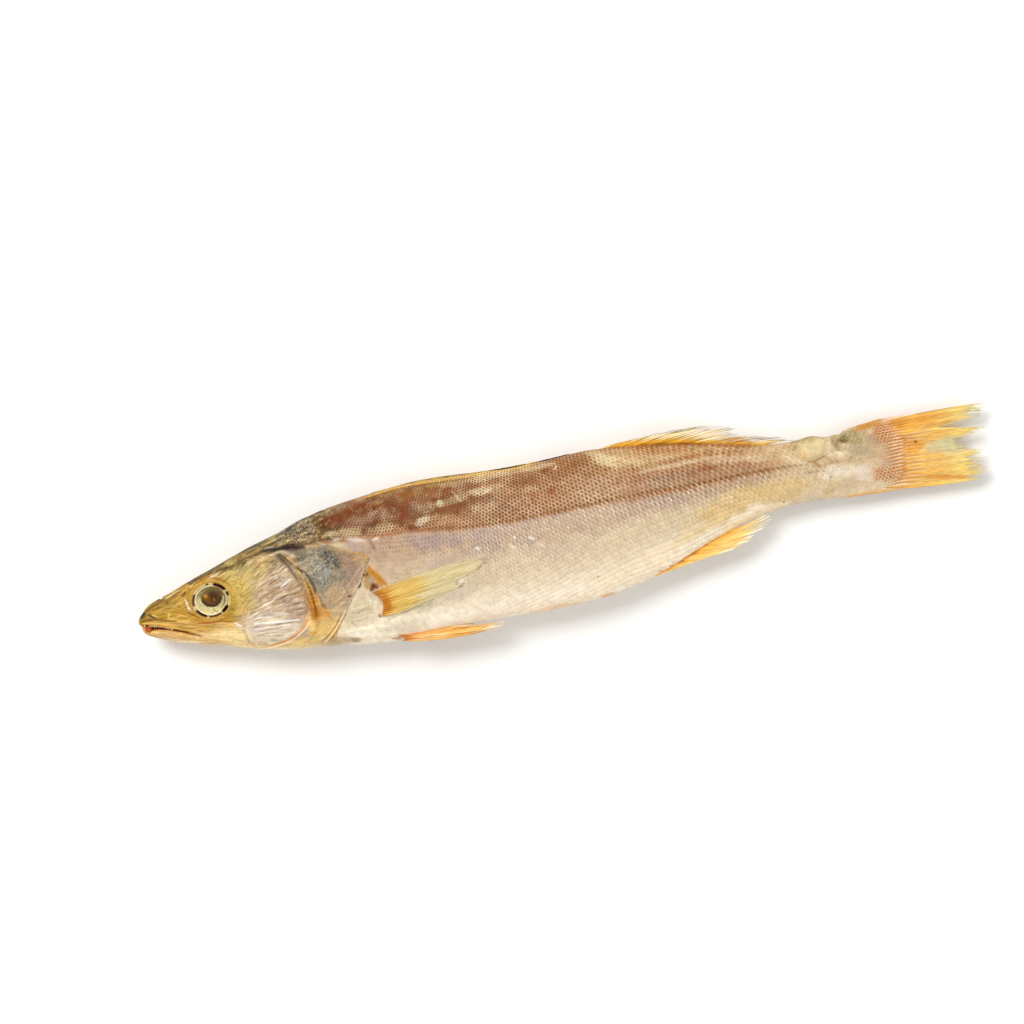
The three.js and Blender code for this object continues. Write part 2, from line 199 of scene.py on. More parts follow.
# first colour, then each further one blended in between a start and an end
def gradient(stops, share):
    tint = np.zeros(share.shape + (3,)) + linearColour(stops[0])
    for colour, start, end in stops[1:]:
        tint = blend(tint, colour, rise(share, start, end))
    return tint


# evenly spaced angles round a ring
def ringAngles(count):
    return np.arange(count) * 2 * math.pi / count


# the four corners of every cell of a grid whose places are numbered row by row
def gridFaces(rows, columns, around=False):
    across = np.arange(columns if around else columns - 1)
    following = (across + 1) % columns
    start = np.arange(rows - 1)[:, None] * columns
    cells = np.broadcast_arrays(start + across, start + columns + across,
                                start + columns + following, start + following)
    return np.stack(cells, -1).reshape(-1, 4)


# a mesh from arrays: points in fish millimetres, faces as arrays of corners, turned to face outwards
def addPiece(name, points, faces, material, attributes, uvs=None):
    points = np.asarray(points, float).reshape(-1, 3)
    points[:, 0] = np.maximum(points[:, 0], fish["clearance"])
    placed = (points - [fish["alongOrigin"], fish["heightOrigin"], 0]) * mm
    volume = 0.0
    for block in faces:
        a = placed[block[:, 0]]
        for k in range(1, block.shape[1] - 1):
            volume += np.einsum("ij,ij->", a, np.cross(placed[block[:, k]], placed[block[:, k + 1]]))
    if volume < 0:
        faces = [block[:, ::-1] for block in faces]
        uvs = None if uvs is None else [block[:, ::-1] for block in uvs]
    corners = np.concatenate([block.ravel() for block in faces]).astype(np.int32)
    sizes = np.concatenate([np.full(len(block), block.shape[1]) for block in faces])
    mesh = bpy.data.meshes.new(name)
    mesh.vertices.add(len(placed))
    mesh.loops.add(len(corners))
    mesh.polygons.add(len(sizes))
    mesh.vertices.foreach_set("co", placed.ravel())
    mesh.loops.foreach_set("vertex_index", corners)
    starts = np.concatenate([[0], np.cumsum(sizes)[:-1]])
    mesh.polygons.foreach_set("loop_start", starts.astype(np.int32))
    mesh.update(calc_edges=True)
    mesh.polygons.foreach_set("use_smooth", np.ones(len(sizes), bool))
    for key, values in attributes.items():
        values = np.asarray(values, float).reshape(-1, 3)
        if key == "tint":
            layer = mesh.color_attributes.new(key, "FLOAT_COLOR", "POINT")
            layer.data.foreach_set("color", np.c_[deepen(values), np.ones(len(values))].ravel())
        else:
            mesh.attributes.new(key, "FLOAT_VECTOR", "POINT").data.foreach_set("vector", values.ravel())
    if uvs is not None:
        layer = mesh.uv_layers.new(name="OFBake")
        layer.data.foreach_set("uv", np.concatenate([block.reshape(-1, 2) for block in uvs]).ravel())
    mesh.materials.append(material)
    piece = bpy.data.objects.new(name, mesh)
    bpy.context.scene.collection.objects.link(piece)
    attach(piece, "root")
    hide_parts("fish")
    print(name, len(placed), "points")
    return piece


# one node: its kind, with its operation where it has one, then its inputs, which are sockets to
# link or values to set; its settings are attributes
def addNode(tree, kind, inputs=(), out=0, **settings):
    kind, *operation = kind.split()
    node = tree.nodes.new("ShaderNode" + kind)
    for word in operation:
        node.operation = word
    for key, value in settings.items():
        setattr(node, key, value)
    for key, value in (inputs.items() if isinstance(inputs, dict) else enumerate(inputs)):
        if isinstance(value, bpy.types.NodeSocket):
            tree.links.new(value, node.inputs[key])
        else:
            node.inputs[key].default_value = value
    return node.outputs[out] if len(node.outputs) else node


backLine, bellyLine, halfThickness, middlePlane, lateralLine = (
    smoothCurve(fish[key]) for key in ("back", "belly", "half", "middle", "lateral"))


# share of the half thickness at a share of the height, -1 at the belly to 1 at the back:
# a superellipse, flatter on the head, tilted so that the back is fuller
def sectionShape(share, along):
    boxiness = 2.5 - 0.5 * rise(along, 50, 120)
    fullness = np.sqrt(np.maximum(0, 1 - np.abs(share) ** boxiness))
    return fullness * (1 + fish["fullBack"] * rise(along, 20, 110) * share)


# the skin without its relief: turn goes from the back (0) down the left flank to the belly (pi)
# and up the right flank, with height as a cosine and level as the section's shape
def bodySurface(along, turn):
    top, bottom = backLine(along), bellyLine(along)
    share = np.cos(turn)
    height = (top + bottom) / 2 + (top - bottom) / 2 * share
    side = np.where(np.sin(turn) >= 0, 1, -1)
    level = middlePlane(along) + side * halfThickness(along) * sectionShape(share, along)
    return np.stack([along, height, level], -1)


# share of the way from the belly up to the back
def shareUp(along, height):
    return (height - bellyLine(along)) / (backLine(along) - bellyLine(along))


# height in the section as a share, -1 at the belly to 1 at the back
def sectionShare(along, height):
    top, bottom = backLine(along), bellyLine(along)
    return (2 * height - top - bottom) / (top - bottom)


# level of a flank above a place in the side view
def flankLevel(along, height, side):
    share = np.clip(sectionShare(along, height), -1, 1)
    return middlePlane(along) + side * halfThickness(along) * sectionShape(share, along)


# outward normals of a grid that closes round its columns, from the cross product of its runs
def ringNormals(grid):
    down = np.gradient(grid, axis=0)
    across = np.roll(grid, -1, 1) - np.roll(grid, 1, 1)
    normal = np.cross(down, across)
    normal /= np.linalg.norm(normal, axis=-1, keepdims=True) + 1e-9
    middle = grid.mean(axis=1, keepdims=True)
    facing = np.sum((grid - middle) * normal, axis=(1, 2))[:, None, None]
    return normal * np.where(facing < 0, -1, 1)


# gill cover: free edge from the throat to its hind tip, then its upper edge forward to the nape
gill = {
    "rear": [(66, -31), (72, -27.4), (77.7, -22.3), (80.8, -18.5), (83.5, -14.6), (86.5, -10.8),
             (90, -6.9), (92, -3.8), (94.3, 0), (96.2, 3.2)],
    "upper": [(93.8, 5.4), (88.5, 7.4), (83, 10.8), (79.2, 12.9)],
    "napeEnd": 80.5,
    "lift": 0.25,        # how far the cover stands above the body's line
    "gap": 0.15,         # how deep the body lies under the cover
    "thickness": 0.32,
}
gillRear = smoothCurve([(h, a) for a, h in gill["rear"]])
gillTop = smoothCurve([(50, 15.6), (62, 14.6), (72, 13.4), *gill["upper"][::-1], gill["rear"][-1],
                       (100, 1.5)])


# distance inside the gill cover's outline, negative outside it
def coverInside(along, height):
    return np.minimum(gillRear(height) - along, (gillTop(along) - height) * 0.85)


eye = {
    "along": 31.05, "height": 0.45,
    "ball": 7.1, "socket": 7.8, "squash": 1.14,   # the ring is lower than long
    "pupil": (4.5, 3.9), "rim": 8.9,
    "ring": 6.75,                # the iris and its rings are given for a ball of this radius
    "slopeRun": 9.0,             # reach over which the flank's slope is taken
    "rings": 46, "columns": 120,
    "rimDepth": 1.6, "backDepth": 2.4,
    # open crescents between ball and rim, dark red-brown with painted shade in the gap: middle degrees, half
    # spread, strength
    "crescents": [(50, 26, 0.95), (12, 9, 0.6), (-46, 15, 1.0), (-86, 24, 0.4), (-134, 24, 0.75),
                  (167, 24, 0.4), (93, 5, 0.3)],
    "weakCrescentShade": "#855c40", "darkCrescentShade": "#4c1c0e",
}
mouth = {
    "upperLip": [(-1, -2.8), (1.6, -3.2), (3, -3.4), (4.5, -4.1), (7, -4.7), (10, -5.8), (13.5, -7.5),
                 (20, -10.6), (24, -12.9)],
    "lowerLip": [(-1, -3.9), (1.6, -4.9), (2.4, -6.6), (3.4, -7.0), (4.6, -6.5), (7, -6.6), (10, -7.3),
                 (13.5, -8.35), (20, -11.1), (24, -13.1)],
    "depth": 2.6,
    "corner": 23.5,      # where the gap between the lips ends
}
upperLip, lowerLip = smoothCurve(mouth["upperLip"]), smoothCurve(mouth["lowerLip"])


# distance into the gap between the lips, negative on the lips, and only in front of its corner
def mouthInside(along, height):
    gap = np.minimum(upperLip(along) - height, height - lowerLip(along))
    return np.where(along < mouth["corner"], gap, -9.0)


# round the eye: distance from its middle and angle, with the ring squashed to its true height
def eyePolar(along, height):
    a, b = along - eye["along"], (height - eye["height"]) * eye["squash"]
    return np.hypot(a, b), np.degrees(np.arctan2(b, a))


# how dark and open the crescent beside the eyeball is at an angle, 0 to 1
def crescentOpen(angle):
    total = np.zeros(np.shape(angle))
    for middle, spread, strength in eye["crescents"]:
        off = np.abs((angle - middle + 180) % 360 - 180)
        total = np.maximum(total, strength * (1 - rise(off, spread * 0.7, spread)))
    return total


# share of the way from the upper lip down to the lower one
def lipShare(along, height):
    return np.clip((upperLip(along) - height) / (upperLip(along) - lowerLip(along)), 0, 1)


# painted shade in the crescents' gap: brown where a crescent is weak and nearly black where it is strong,
# within a mask
def paintCrescentShade(tint, opening, mask):
    return layOver(tint, (eye["weakCrescentShade"], rise(opening, 0.05, 0.3) * mask),
                   (eye["darkCrescentShade"], rise(opening, 0.4, 0.75) * mask))


# the cheek's hind edge is the arc of an oval, and its wrinkles fan out from a point in front
cheek = {"along": 50.2, "height": -5, "length": 19, "depth": 18.6, "fanAlong": 17, "fanHeight": -13}


# distance in front of the hind edge of the cheek, an oval arc round a middle behind the eye
def coverFront(along, height):
    a, b = (along - cheek["along"]) / cheek["length"], (height - cheek["height"]) / cheek["depth"]
    return (1 - np.hypot(a, b)) * cheek["length"]


# angle in degrees at which a place of the cheek is seen from the point where its wrinkles start
def fanAngle(along, height):
    return np.degrees(np.arctan2(height - cheek["fanHeight"], along - cheek["fanAlong"]))


# lines of the head: half width, relief (below 0 sinks), colour, strength of the colour, points
headLines = [
    # hind edge of the cheek: dark lines with golden bands between and behind them
    (0.85, -0.35, "#4f3627", 0.8, (60.2, 12.6), (62.2, 10), (64.4, 6.6), (65.8, 3.2), (67, 0)),
    (0.8, -0.2, "#96703f", 0.6, (67, 1.4), (68.2, -2), (68.6, -6), (68.2, -10), (66.6, -14.4)),
    (0.5, -0.55, "#150b06", 0.95, (61, 12.8), (64.2, 9.6), (66.6, 6.4), (68.5, 4.2), (69.6, 2)),
    (0.55, -0.6, "#35180d", 0.95, (68.6, 4.6), (70.6, 2.4), (71.8, -0.8), (72.5, -3.4), (73, -6)),
    (0.4, -0.4, "#9a6a35", 0.8, (73, -5), (73.7, -8.6), (74.3, -11.4), (75.4, -13.6)),
    (0.3, 0.3, "#e2b040", 0.8, (62.4, 12.4), (65.4, 8.8), (67.2, 5.4), (68.6, 2.2), (69.4, -1), (69.9, -5),
     (70.2, -10), (70.2, -15)),
    (0.3, 0.3, "#a8713a", 0.8, (63.4, 12.3), (66.6, 9), (69, 5.6)),
    (0.35, -0.35, "#7f4d18", 0.8, (69.2, 1.6), (70.2, -2), (71, -6), (71.2, -11), (70.8, -15.6)),
    (0.28, 0.25, "#e6b748", 0.7, (70.6, 0.6), (71.5, -4), (72, -9), (72, -14)),
    (0.3, 0.25, "#e8b64f", 0.7, (72.8, -7), (73.3, -10.6), (73.4, -14.4)),
    (0.42, -0.3, "#df8c3a", 0.75, (67.6, -14.8), (66, -16.8), (63.6, -19.2), (60.4, -21), (57, -22),
     (50.6, -22.7), (45, -22.2)),
    (0.35, 0.3, "#f8e6cd", 0.7, (68.2, -16.4), (65.6, -18.8), (63, -20.3), (58, -22.7), (50, -23.4),
     (43, -22.9)),
    # dark fold over the gill cover, pale glints in it and golden folds behind it
    (1.05, -0.55, "#2c1b14", 0.95, (54, 15), (58, 14.6), (61.4, 14.2), (65, 14.2), (69, 13.4), (73, 12.8)),
    (1.3, -0.3, "#38241f", 0.85, (64, 13.4), (67, 13), (70.4, 12.8), (73, 12.2)),
    (0.3, 0.2, "#7a6670", 0.8, (65.6, 13), (67.6, 12.8), (68.4, 12.2)),
    (0.28, 0.2, "#6f5a52", 0.7, (69.4, 13.2), (71.2, 12.9), (72.4, 12.2)),
    (0.32, 0.25, "#b3a7a0", 0.8, (55.6, 15.5), (58, 15.7), (60.6, 15.4)),
    (0.55, 0.2, "#bcb493", 0.75, (60, 13.3), (63, 12.9), (66, 11.4), (68.4, 9.2)),
    (0.4, 0.25, "#b98b3c", 0.7, (66, 15.4), (70, 15), (74, 14), (79, 13.5)),
    (0.35, -0.3, "#5c3715", 0.8, (67, 14.5), (71.6, 14.3), (75.6, 13), (80, 12.3)),
    (0.35, 0.2, "#d0a04c", 0.7, (72, 12.2), (75.6, 12.1), (78.6, 11.7)),
    (0.4, 0.2, "#bb9a52", 0.6, (70.6, 16.4), (74, 15.6), (77.6, 15.4)),
    (0.3, 0.2, "#c4a25a", 0.7, (63, 17), (67, 16.7), (71, 16), (75, 14.6)),
    (0.3, 0.2, "#b59852", 0.7, (61, 15.6), (65, 15.8), (68.6, 15.3)),
    (0.32, 0.2, "#b99650", 0.6, (70, 18), (74, 17), (78, 15.4), (81, 13.6)),
    (0.3, -0.25, "#4a2d12", 0.75, (64, 15.2), (69, 15.1), (73, 14.6), (78, 13.1)),
    (0.3, -0.3, "#6d4c1e", 0.75, (44, 11.8), (48, 13.4), (52, 14.2), (56, 14.4)),
    # upper rim of the gill cover and its dark spots
    (0.4, 0.2, "#d8b478", 0.6, (79, 12.6), (82.5, 10.9), (86, 8.8), (89.5, 6.9), (92.6, 5.4), (94.8, 4.2)),
    (0.6, 0.1, "#c0945a", 0.5, (89.6, 4.9), (91.6, 3.4), (92.6, 1.8)),
    (0.32, 0.15, "#d2a03c", 0.9, (84.6, 9.6), (88, 7.6), (91.4, 6.2), (94.4, 4.6), (95.8, 2), (94.8, 0.2)),
    (1.1, -0.25, "#3a3733", 0.9, (78.6, 9), (79.8, 8.2), (81.2, 7.4)),
    (1, -0.25, "#3e3e46", 0.85, (82, 6.4), (82.4, 4.6), (83.4, 2.6), (83.4, 0.8)),
    (0.8, 0.1, "#8f9aa2", 0.5, (78.4, 4.6), (79.2, 1.6), (78, -1.6)),
    (0.6, -0.15, "#8b8078", 0.6, (86.6, 0.4), (85.4, -2.2), (83, -4)),
    (0.55, -0.25, "#4f463a", 0.7, (68.4, 8.6), (70, 7.2), (69.6, 5.4)),
    (0.5, -0.2, "#5a5246", 0.6, (72, 10), (74.6, 8.6), (76.6, 8.8)),
    # pinkish membrane along the hind rim, with folds in front of it
    (1.5, 0.1, "#c5a88c", 0.85, (95, 0.8), (92.4, -2.8), (89, -6.6), (85.4, -10.4), (81.4, -15)),
    (0.35, 0.22, "#d8bd9c", 0.6, (94.4, 1.2), (91, -1.4), (87, -5.2), (83, -9), (78.6, -12.2)),
    (0.3, 0.2, "#e0cdb4", 0.7, (93.4, -2.4), (90.2, -6.2), (86.8, -9.9), (84, -13.6)),
    (0.4, -0.2, "#6a3314", 1, (84.6, -9.9), (85.4, -10.4), (86.6, -10.5)),
    (0.8, 0.1, "#dcbf92", 0.8, (83.8, -11.2), (80, -13.6), (76.6, -14.8)),
    # rays of the gill membrane under the cover
    (0.3, -0.3, "#d98a28", 0.8, (74.4, -13.6), (75.6, -16), (76.6, -18.4)),
    (0.36, 0.35, "#fbe8b4", 0.85, (83, -14.8), (79.8, -18.8), (76, -22.8), (70.6, -26.6)),
    (0.3, -0.3, "#c98f34", 0.8, (83.6, -15.4), (81, -18.8), (77.6, -22.2), (73, -26)),
    (0.26, -0.25, "#cf9a42", 0.7, (81.6, -15.2), (78.4, -19.4), (74.4, -23), (68.6, -26.4)),
    (0.26, 0.2, "#f6dd9d", 0.6, (79.6, -16.4), (76.6, -20.2), (72.6, -23.4), (67, -25.6)),
    (0.3, -0.2, "#e2952f", 0.6, (66, -20.6), (68, -21.4), (70, -21.6)),
    # snout
    (0.5, -0.15, "#54431d", 0.85, (0.2, -1), (1.4, 0.9), (3.2, 2.7), (5.6, 4.2), (8.6, 5.1)),
    (0.65, -0.3, "#3b3018", 0.9, (1.4, -0.5), (2.6, 0.7), (3.8, 1.5)),
    (0.4, 0.2, "#b59a58", 0.6, (3.2, 1.9), (4.4, 1.2), (4.9, 0)),
    (0.42, -0.35, "#4e3d1c", 0.9, (4.4, 0.8), (5.6, -0.4), (6.8, -1.3), (8, -1.7)),
    (0.3, 0.25, "#e2d7b6", 0.8, (6.3, -0.1), (7.2, -0.7), (8.1, -1.5)),
    (0.42, -0.35, "#8a5518", 0.8, (3.4, -1.6), (7, -2.3), (10, -3), (13, -4.3), (16, -4.7)),
    (0.5, -0.2, "#7b6430", 0.7, (0.6, -1.8), (3, -1.9), (5.6, -2.2)),
    (0.34, -0.3, "#7e5a20", 0.75, (4.4, 2.4), (7.6, 3.4), (11, 4.2), (15, 5), (20.6, 7)),
    (0.3, 0.2, "#c9ab5e", 0.6, (3.2, 2.2), (6.6, 4.2), (9.6, 4.5)),
    (0.42, -0.55, "#33260e", 0.95, (10.2, 5.1), (10.9, 5.9), (11.6, 5.5)),
    (0.32, 0.3, "#efdfb2", 0.8, (12.4, 4.8), (14.4, 5.4), (16.4, 6.2), (20, 7.5)),
    (0.4, -0.2, "#8f6620", 0.6, (6.4, 1.4), (9.4, 2), (13, 1), (16, 1.6)),
    (0.3, 0.2, "#e0c582", 0.6, (8.6, 1), (12, 1.6), (17, 1.4), (20, 2.2)),
    (0.55, -0.2, "#86521a", 0.8, (12.6, 3.2), (14, 3.3)),
    (0.6, -0.3, "#73380f", 0.85, (19.6, 4.4), (21, 5.3), (21.4, 6.2)),
    (0.5, -0.2, "#a5651f", 0.7, (17.2, 0.7), (18.4, 0.6)),
    (0.3, 0.2, "#d8bd78", 0.6, (17.6, 2.4), (19.6, 3.6), (21, 3.8)),
    (0.32, 0.22, "#e8cf90", 0.6, (11, -0.4), (13.6, -1.2), (12.4, -2.6), (14.6, -3.6)),
    (0.35, -0.2, "#a87a2c", 0.6, (14.6, -0.6), (18, -2.2), (20.4, -3.6)),
    (0.3, 0.2, "#e3c57e", 0.6, (15.2, -3.6), (17.6, -2.8), (20, -4.4)),
    # lips and jaws
    (0.5, 0.35, "#e8bd66", 0.85, (1.2, -2.5), (5, -3.3), (10, -5), (15, -7.2), (20, -9.6), (24.4, -11.9)),
    (0.3, -0.2, "#b98236", 0.6, (6, -4), (12, -5.8), (18, -8.2), (24, -10.6), (28, -12.6)),
    (0.3, -0.22, "#b07a34", 0.55, (12, -4.9), (17, -6.2), (22, -8), (28, -9.8), (33, -11.6)),
    (0.42, -0.35, "#b05a12", 0.95, (13, -7.9), (17, -9.5), (20.4, -11.1), (24.6, -13.1)),
    (0.4, 0.25, "#e9c48e", 0.7, (2.6, -6.4), (5.4, -7.3), (9, -8.2), (13, -9), (18, -11.2)),
    (0.4, -0.2, "#cf9450", 0.6, (4, -8.3), (9, -10), (14, -11.6), (20, -13.4)),
    (0.3, 0.25, "#f9e2ae", 0.75, (9, -11.3), (14, -12.9), (20, -14.5), (26, -16)),
    (0.28, -0.25, "#dc9330", 0.8, (16, -14.1), (20.6, -15.1), (26, -16.1), (29.4, -16.9)),
    (0.3, -0.22, "#e0a552", 0.6, (22.6, -12.6), (25, -14.2), (28.6, -15.6), (33, -17.4)),
    (0.3, 0.2, "#f6dba0", 0.55, (24.6, -12.2), (29, -13.6), (35, -15.4)),
    (0.4, -0.35, "#a9671f", 0.85, (22, -7.2), (26, -8), (30.4, -8.4), (34, -8.9), (37.6, -9.9)),
    (0.32, 0.25, "#e9c685", 0.6, (23.6, -8), (28, -8.9), (33, -9.4), (38.2, -11.4)),
    (0.42, 0.3, "#f4ecee", 0.85, (38.2, -10.2), (39.6, -11.8), (40.8, -13.6)),
    (0.4, -0.35, "#d8ae75", 0.7, (40.8, -13.6), (41.4, -16.6), (42, -19.4), (44.4, -22.2)),
    (0.4, 0.25, "#efe3d8", 0.6, (42.2, -14), (42.9, -17), (44.6, -20.6)),
    # orbit
    (0.38, 0.35, "#f7eed6", 0.85, (20.8, 3.4), (21.3, 1.2), (21.5, -0.6), (22.6, -2.2)),
    (0.42, -0.35, "#8f6220", 0.85, (20.2, -2.2), (21.8, -3.2), (23.4, -4.2), (25, -5.6)),
    (0.3, -0.25, "#ad8038", 0.7, (22, 3), (22.4, 0.4), (23.2, -1.6)),
    (0.36, -0.35, "#5a3a12", 0.85, (23.4, 8.9), (24.6, 8.3), (27, 8.5), (29.6, 9.9)),
    (0.36, -0.3, "#7a4a16", 0.7, (22.6, 7.4), (23.4, 6.4), (25.2, 7.2)),
    (0.28, 0.25, "#f0e2bb", 0.7, (23.8, 7.6), (25.6, 8.2), (27.2, 7.8)),
    (0.4, -0.25, "#8e5c1c", 0.65, (29, 9.2), (32, 9.7), (34.6, 8.6), (36, 7.2)),
    (0.3, -0.3, "#6a4a1d", 0.7, (34.4, 7.6), (36.8, 8.4), (39.6, 9.8), (42.4, 11.4)),
    (0.3, -0.25, "#7c5a24", 0.65, (37, 6.3), (39, 7), (40.8, 8.4)),
    (0.45, 0.25, "#d7ad50", 0.6, (38.8, 3.6), (39.3, 0.6), (38.8, -2.6), (37.2, -5)),
    (0.35, -0.2, "#a5823a", 0.5, (37.2, -3.6), (38.4, -4.6), (39.8, -6.6)),
    (0.35, 0.2, "#dcb863", 0.5, (26, -7), (31, -7.6), (35.6, -7.2)),
    (0.28, -0.2, "#57503c", 0.8, (22.5, 1.2), (22.8, 0.3)),
    (0.28, -0.2, "#57503c", 0.8, (22.9, -0.9), (23.3, -1.6)),
    (0.5, 0.2, "#d8b052", 0.6, (24.6, 4.9), (23.8, 6.4), (27, 8.4), (31, 8.6), (35.4, 7.4)),
    # top of the head
    (0.34, -0.25, "#57401c", 0.75, (25, 9.4), (31, 10.6), (37, 11.6), (43, 13.4), (50, 15.2)),
    (0.3, 0.2, "#b3a070", 0.6, (24, 9.8), (34, 12.2), (46, 15.6), (58, 18.8), (68, 21.6)),
    (0.3, -0.25, "#43331a", 0.7, (28, 10.6), (38, 13.2), (50, 16.6), (60, 19.2)),
    (0.5, 0.2, "#dcc68c", 0.7, (40, 12.2), (42.4, 12.9), (45, 13.4)),
    (0.8, 0.1, "#c9ae66", 0.75, (39, 13), (44, 14.3), (49, 15.6)),
    # a painted glint on the ridge over the eye
    (0.42, 0.25, "#e8dfc0", 0.85, (31, 8.7), (34, 9.5), (37.5, 10.8)),
    (0.34, 0.2, "#dccd9c", 0.7, (34.6, 7.8), (37.4, 9.1), (41, 10.6)),
    (0.35, 0.2, "#b9a468", 0.55, (33, 10.6), (36, 11.4), (40, 12.9)),
    (0.5, -0.15, "#74633c", 0.6, (34, 10.4), (36.6, 11.4), (39.6, 12)),
    (0.32, 0.2, "#b7a672", 0.6, (48, 15.8), (54, 17), (60, 18), (66, 19.6)),
    (0.45, -0.25, "#50401f", 0.6, (58, 16.8), (63, 17.6), (68, 18.8), (73, 20.6)),
    (0.4, 0.2, "#a89862", 0.6, (60, 16.2), (64, 16.5), (68, 17.4)),
    # white folds low on the cheek and glints on its wrinkles
    (0.5, 0.35, "#fdf7ee", 0.9, (45, -12.5), (50, -13.2), (56, -14), (61, -14.7), (64.6, -15.2)),
    (0.34, 0.25, "#f8eee0", 0.7, (44, -14.9), (50, -15.3), (56, -15.9), (62, -16.6)),
    (0.26, -0.25, "#a98a74", 0.65, (43.6, -13.7), (50, -14.4), (58, -15.1), (64.4, -16)),
    (0.3, -0.15, "#c9ae8e", 0.5, (46, -17.6), (53, -17.5), (60, -18.2)),
    (0.34, 0.25, "#fbf3ea", 0.7, (47, -10.4), (52, -11.2), (57, -10.8), (61, -11.9)),
    (0.42, 0.3, "#fbf4f0", 0.85, (59.4, -1), (61.6, 0.3), (64.6, 1.4)),
    (0.3, 0.2, "#e3d6c2", 0.6, (57.4, 5), (60.6, 6.2), (63.2, 7.4)),
    (0.3, 0.2, "#f7efe6", 0.7, (50, -6.6), (53, -5.8), (56.4, -5.6)),
    (0.34, 0.25, "#f3ead8", 0.7, (44, -10.2), (46.6, -9.2), (49, -8.4)),
    (0.3, 0.2, "#f2e6dc", 0.6, (55, -8.2), (59, -7.6), (62.6, -8.4)),
    (0.4, -0.2, "#8b7044", 0.6, (52.6, 10.2), (55.6, 10.4), (59, 9.6)),
    (0.6, -0.1, "#9c742f", 0.6, (52, 8.8), (53.4, 9.6)),
]

# soft patches of the head: middle along and in height, radii, turn in degrees, colour, strength
headPatches = [
    (30.6, 0.4, 11, 10, 0, "#b7963f", 0.85), (10, 2, 10, 3, 22, "#9f7e30", 0.75),
    (8, 4.2, 7, 1.3, 24, "#866a28", 0.75), (3, 0.8, 2.8, 1.5, 42, "#6a562a", 0.7),
    (13, -1.6, 9, 2.4, -12, "#c09834", 0.8), (26, -6.2, 12, 2.2, -17, "#d0a14c", 0.8),
    (43, 1, 6.5, 9, 0, "#c9b062", 0.85), (44, 10, 7, 2.8, 15, "#b9a872", 0.75),
    (52, 8.4, 8, 3.6, 22, "#c2a85c", 0.7), (45, -7.5, 5, 3, -10, "#cfb06a", 0.6),
    (50, 5, 7, 4, 0, "#bfa768", 0.55), (18, -6.4, 9, 1.8, -22, "#dcb870", 0.8),
    (36, -15.2, 9, 4.4, -22, "#fbe2ac", 0.95), (14, -11, 13, 2.4, -20, "#f1ca88", 0.9),
    (27, -13.8, 8, 2.6, -22, "#fadca6", 0.85), (34, -11, 5, 1.8, -12, "#e2bd7c", 0.6),
    (8, -9.5, 6, 1.6, -24, "#e8c288", 0.7), (44, -22, 13, 2, -14, "#f9da9c", 0.9),
    (60, -24.4, 13, 3, -5, "#f6d692", 0.9), (70.5, -19.4, 5.4, 6, -25, "#f2ce88", 0.95),
    (76, -21, 3.6, 6, 32, "#e7c484", 0.9), (71, -8, 2.4, 9.5, -4, "#b26c08", 0.95),
    (74, -14.5, 3, 2.4, 0, "#dfa545", 0.7), (67.2, -4, 1.7, 9, -6, "#a3845c", 0.7),
    (79, 2, 9.5, 10, 0, "#918672", 1), (80, -8.4, 6.4, 4.6, 20, "#c2a684", 0.95),
    (88, 3.4, 5.4, 5.5, -40, "#a68b74", 0.95), (93.2, 3, 3, 2.6, -35, "#c6aa80", 0.8),
    (87.6, -4, 5, 2.8, 42, "#a88e7a", 0.8), (84.4, 8.4, 3.6, 1.6, -32, "#a58a62", 0.7),
    (76, 0.4, 4.4, 6, 0, "#87837a", 0.5), (81.2, 6.4, 4.8, 3.2, -45, "#57493f", 0.85),
    (70, 9.6, 3.8, 2.8, -30, "#5f5544", 0.8), (75, 10.6, 3.6, 1.4, -10, "#77694e", 0.6),
    (60.2, 8.6, 5, 3.4, 35, "#947a56", 0.75), (58, -2, 9, 8, 0, "#b89d80", 0.7),
    (63, -10, 4.6, 6, 0, "#b09280", 0.65), (55, -18.6, 10, 3.4, 0, "#ead8c0", 0.85),
    (49, -9.4, 7, 3, 0, "#d3c2b0", 0.6), (46, -15, 4, 2.4, 0, "#ddd0c2", 0.6),
    (1.2, -5.6, 1.1, 1.8, 10, "#e6bd98", 0.9),
]

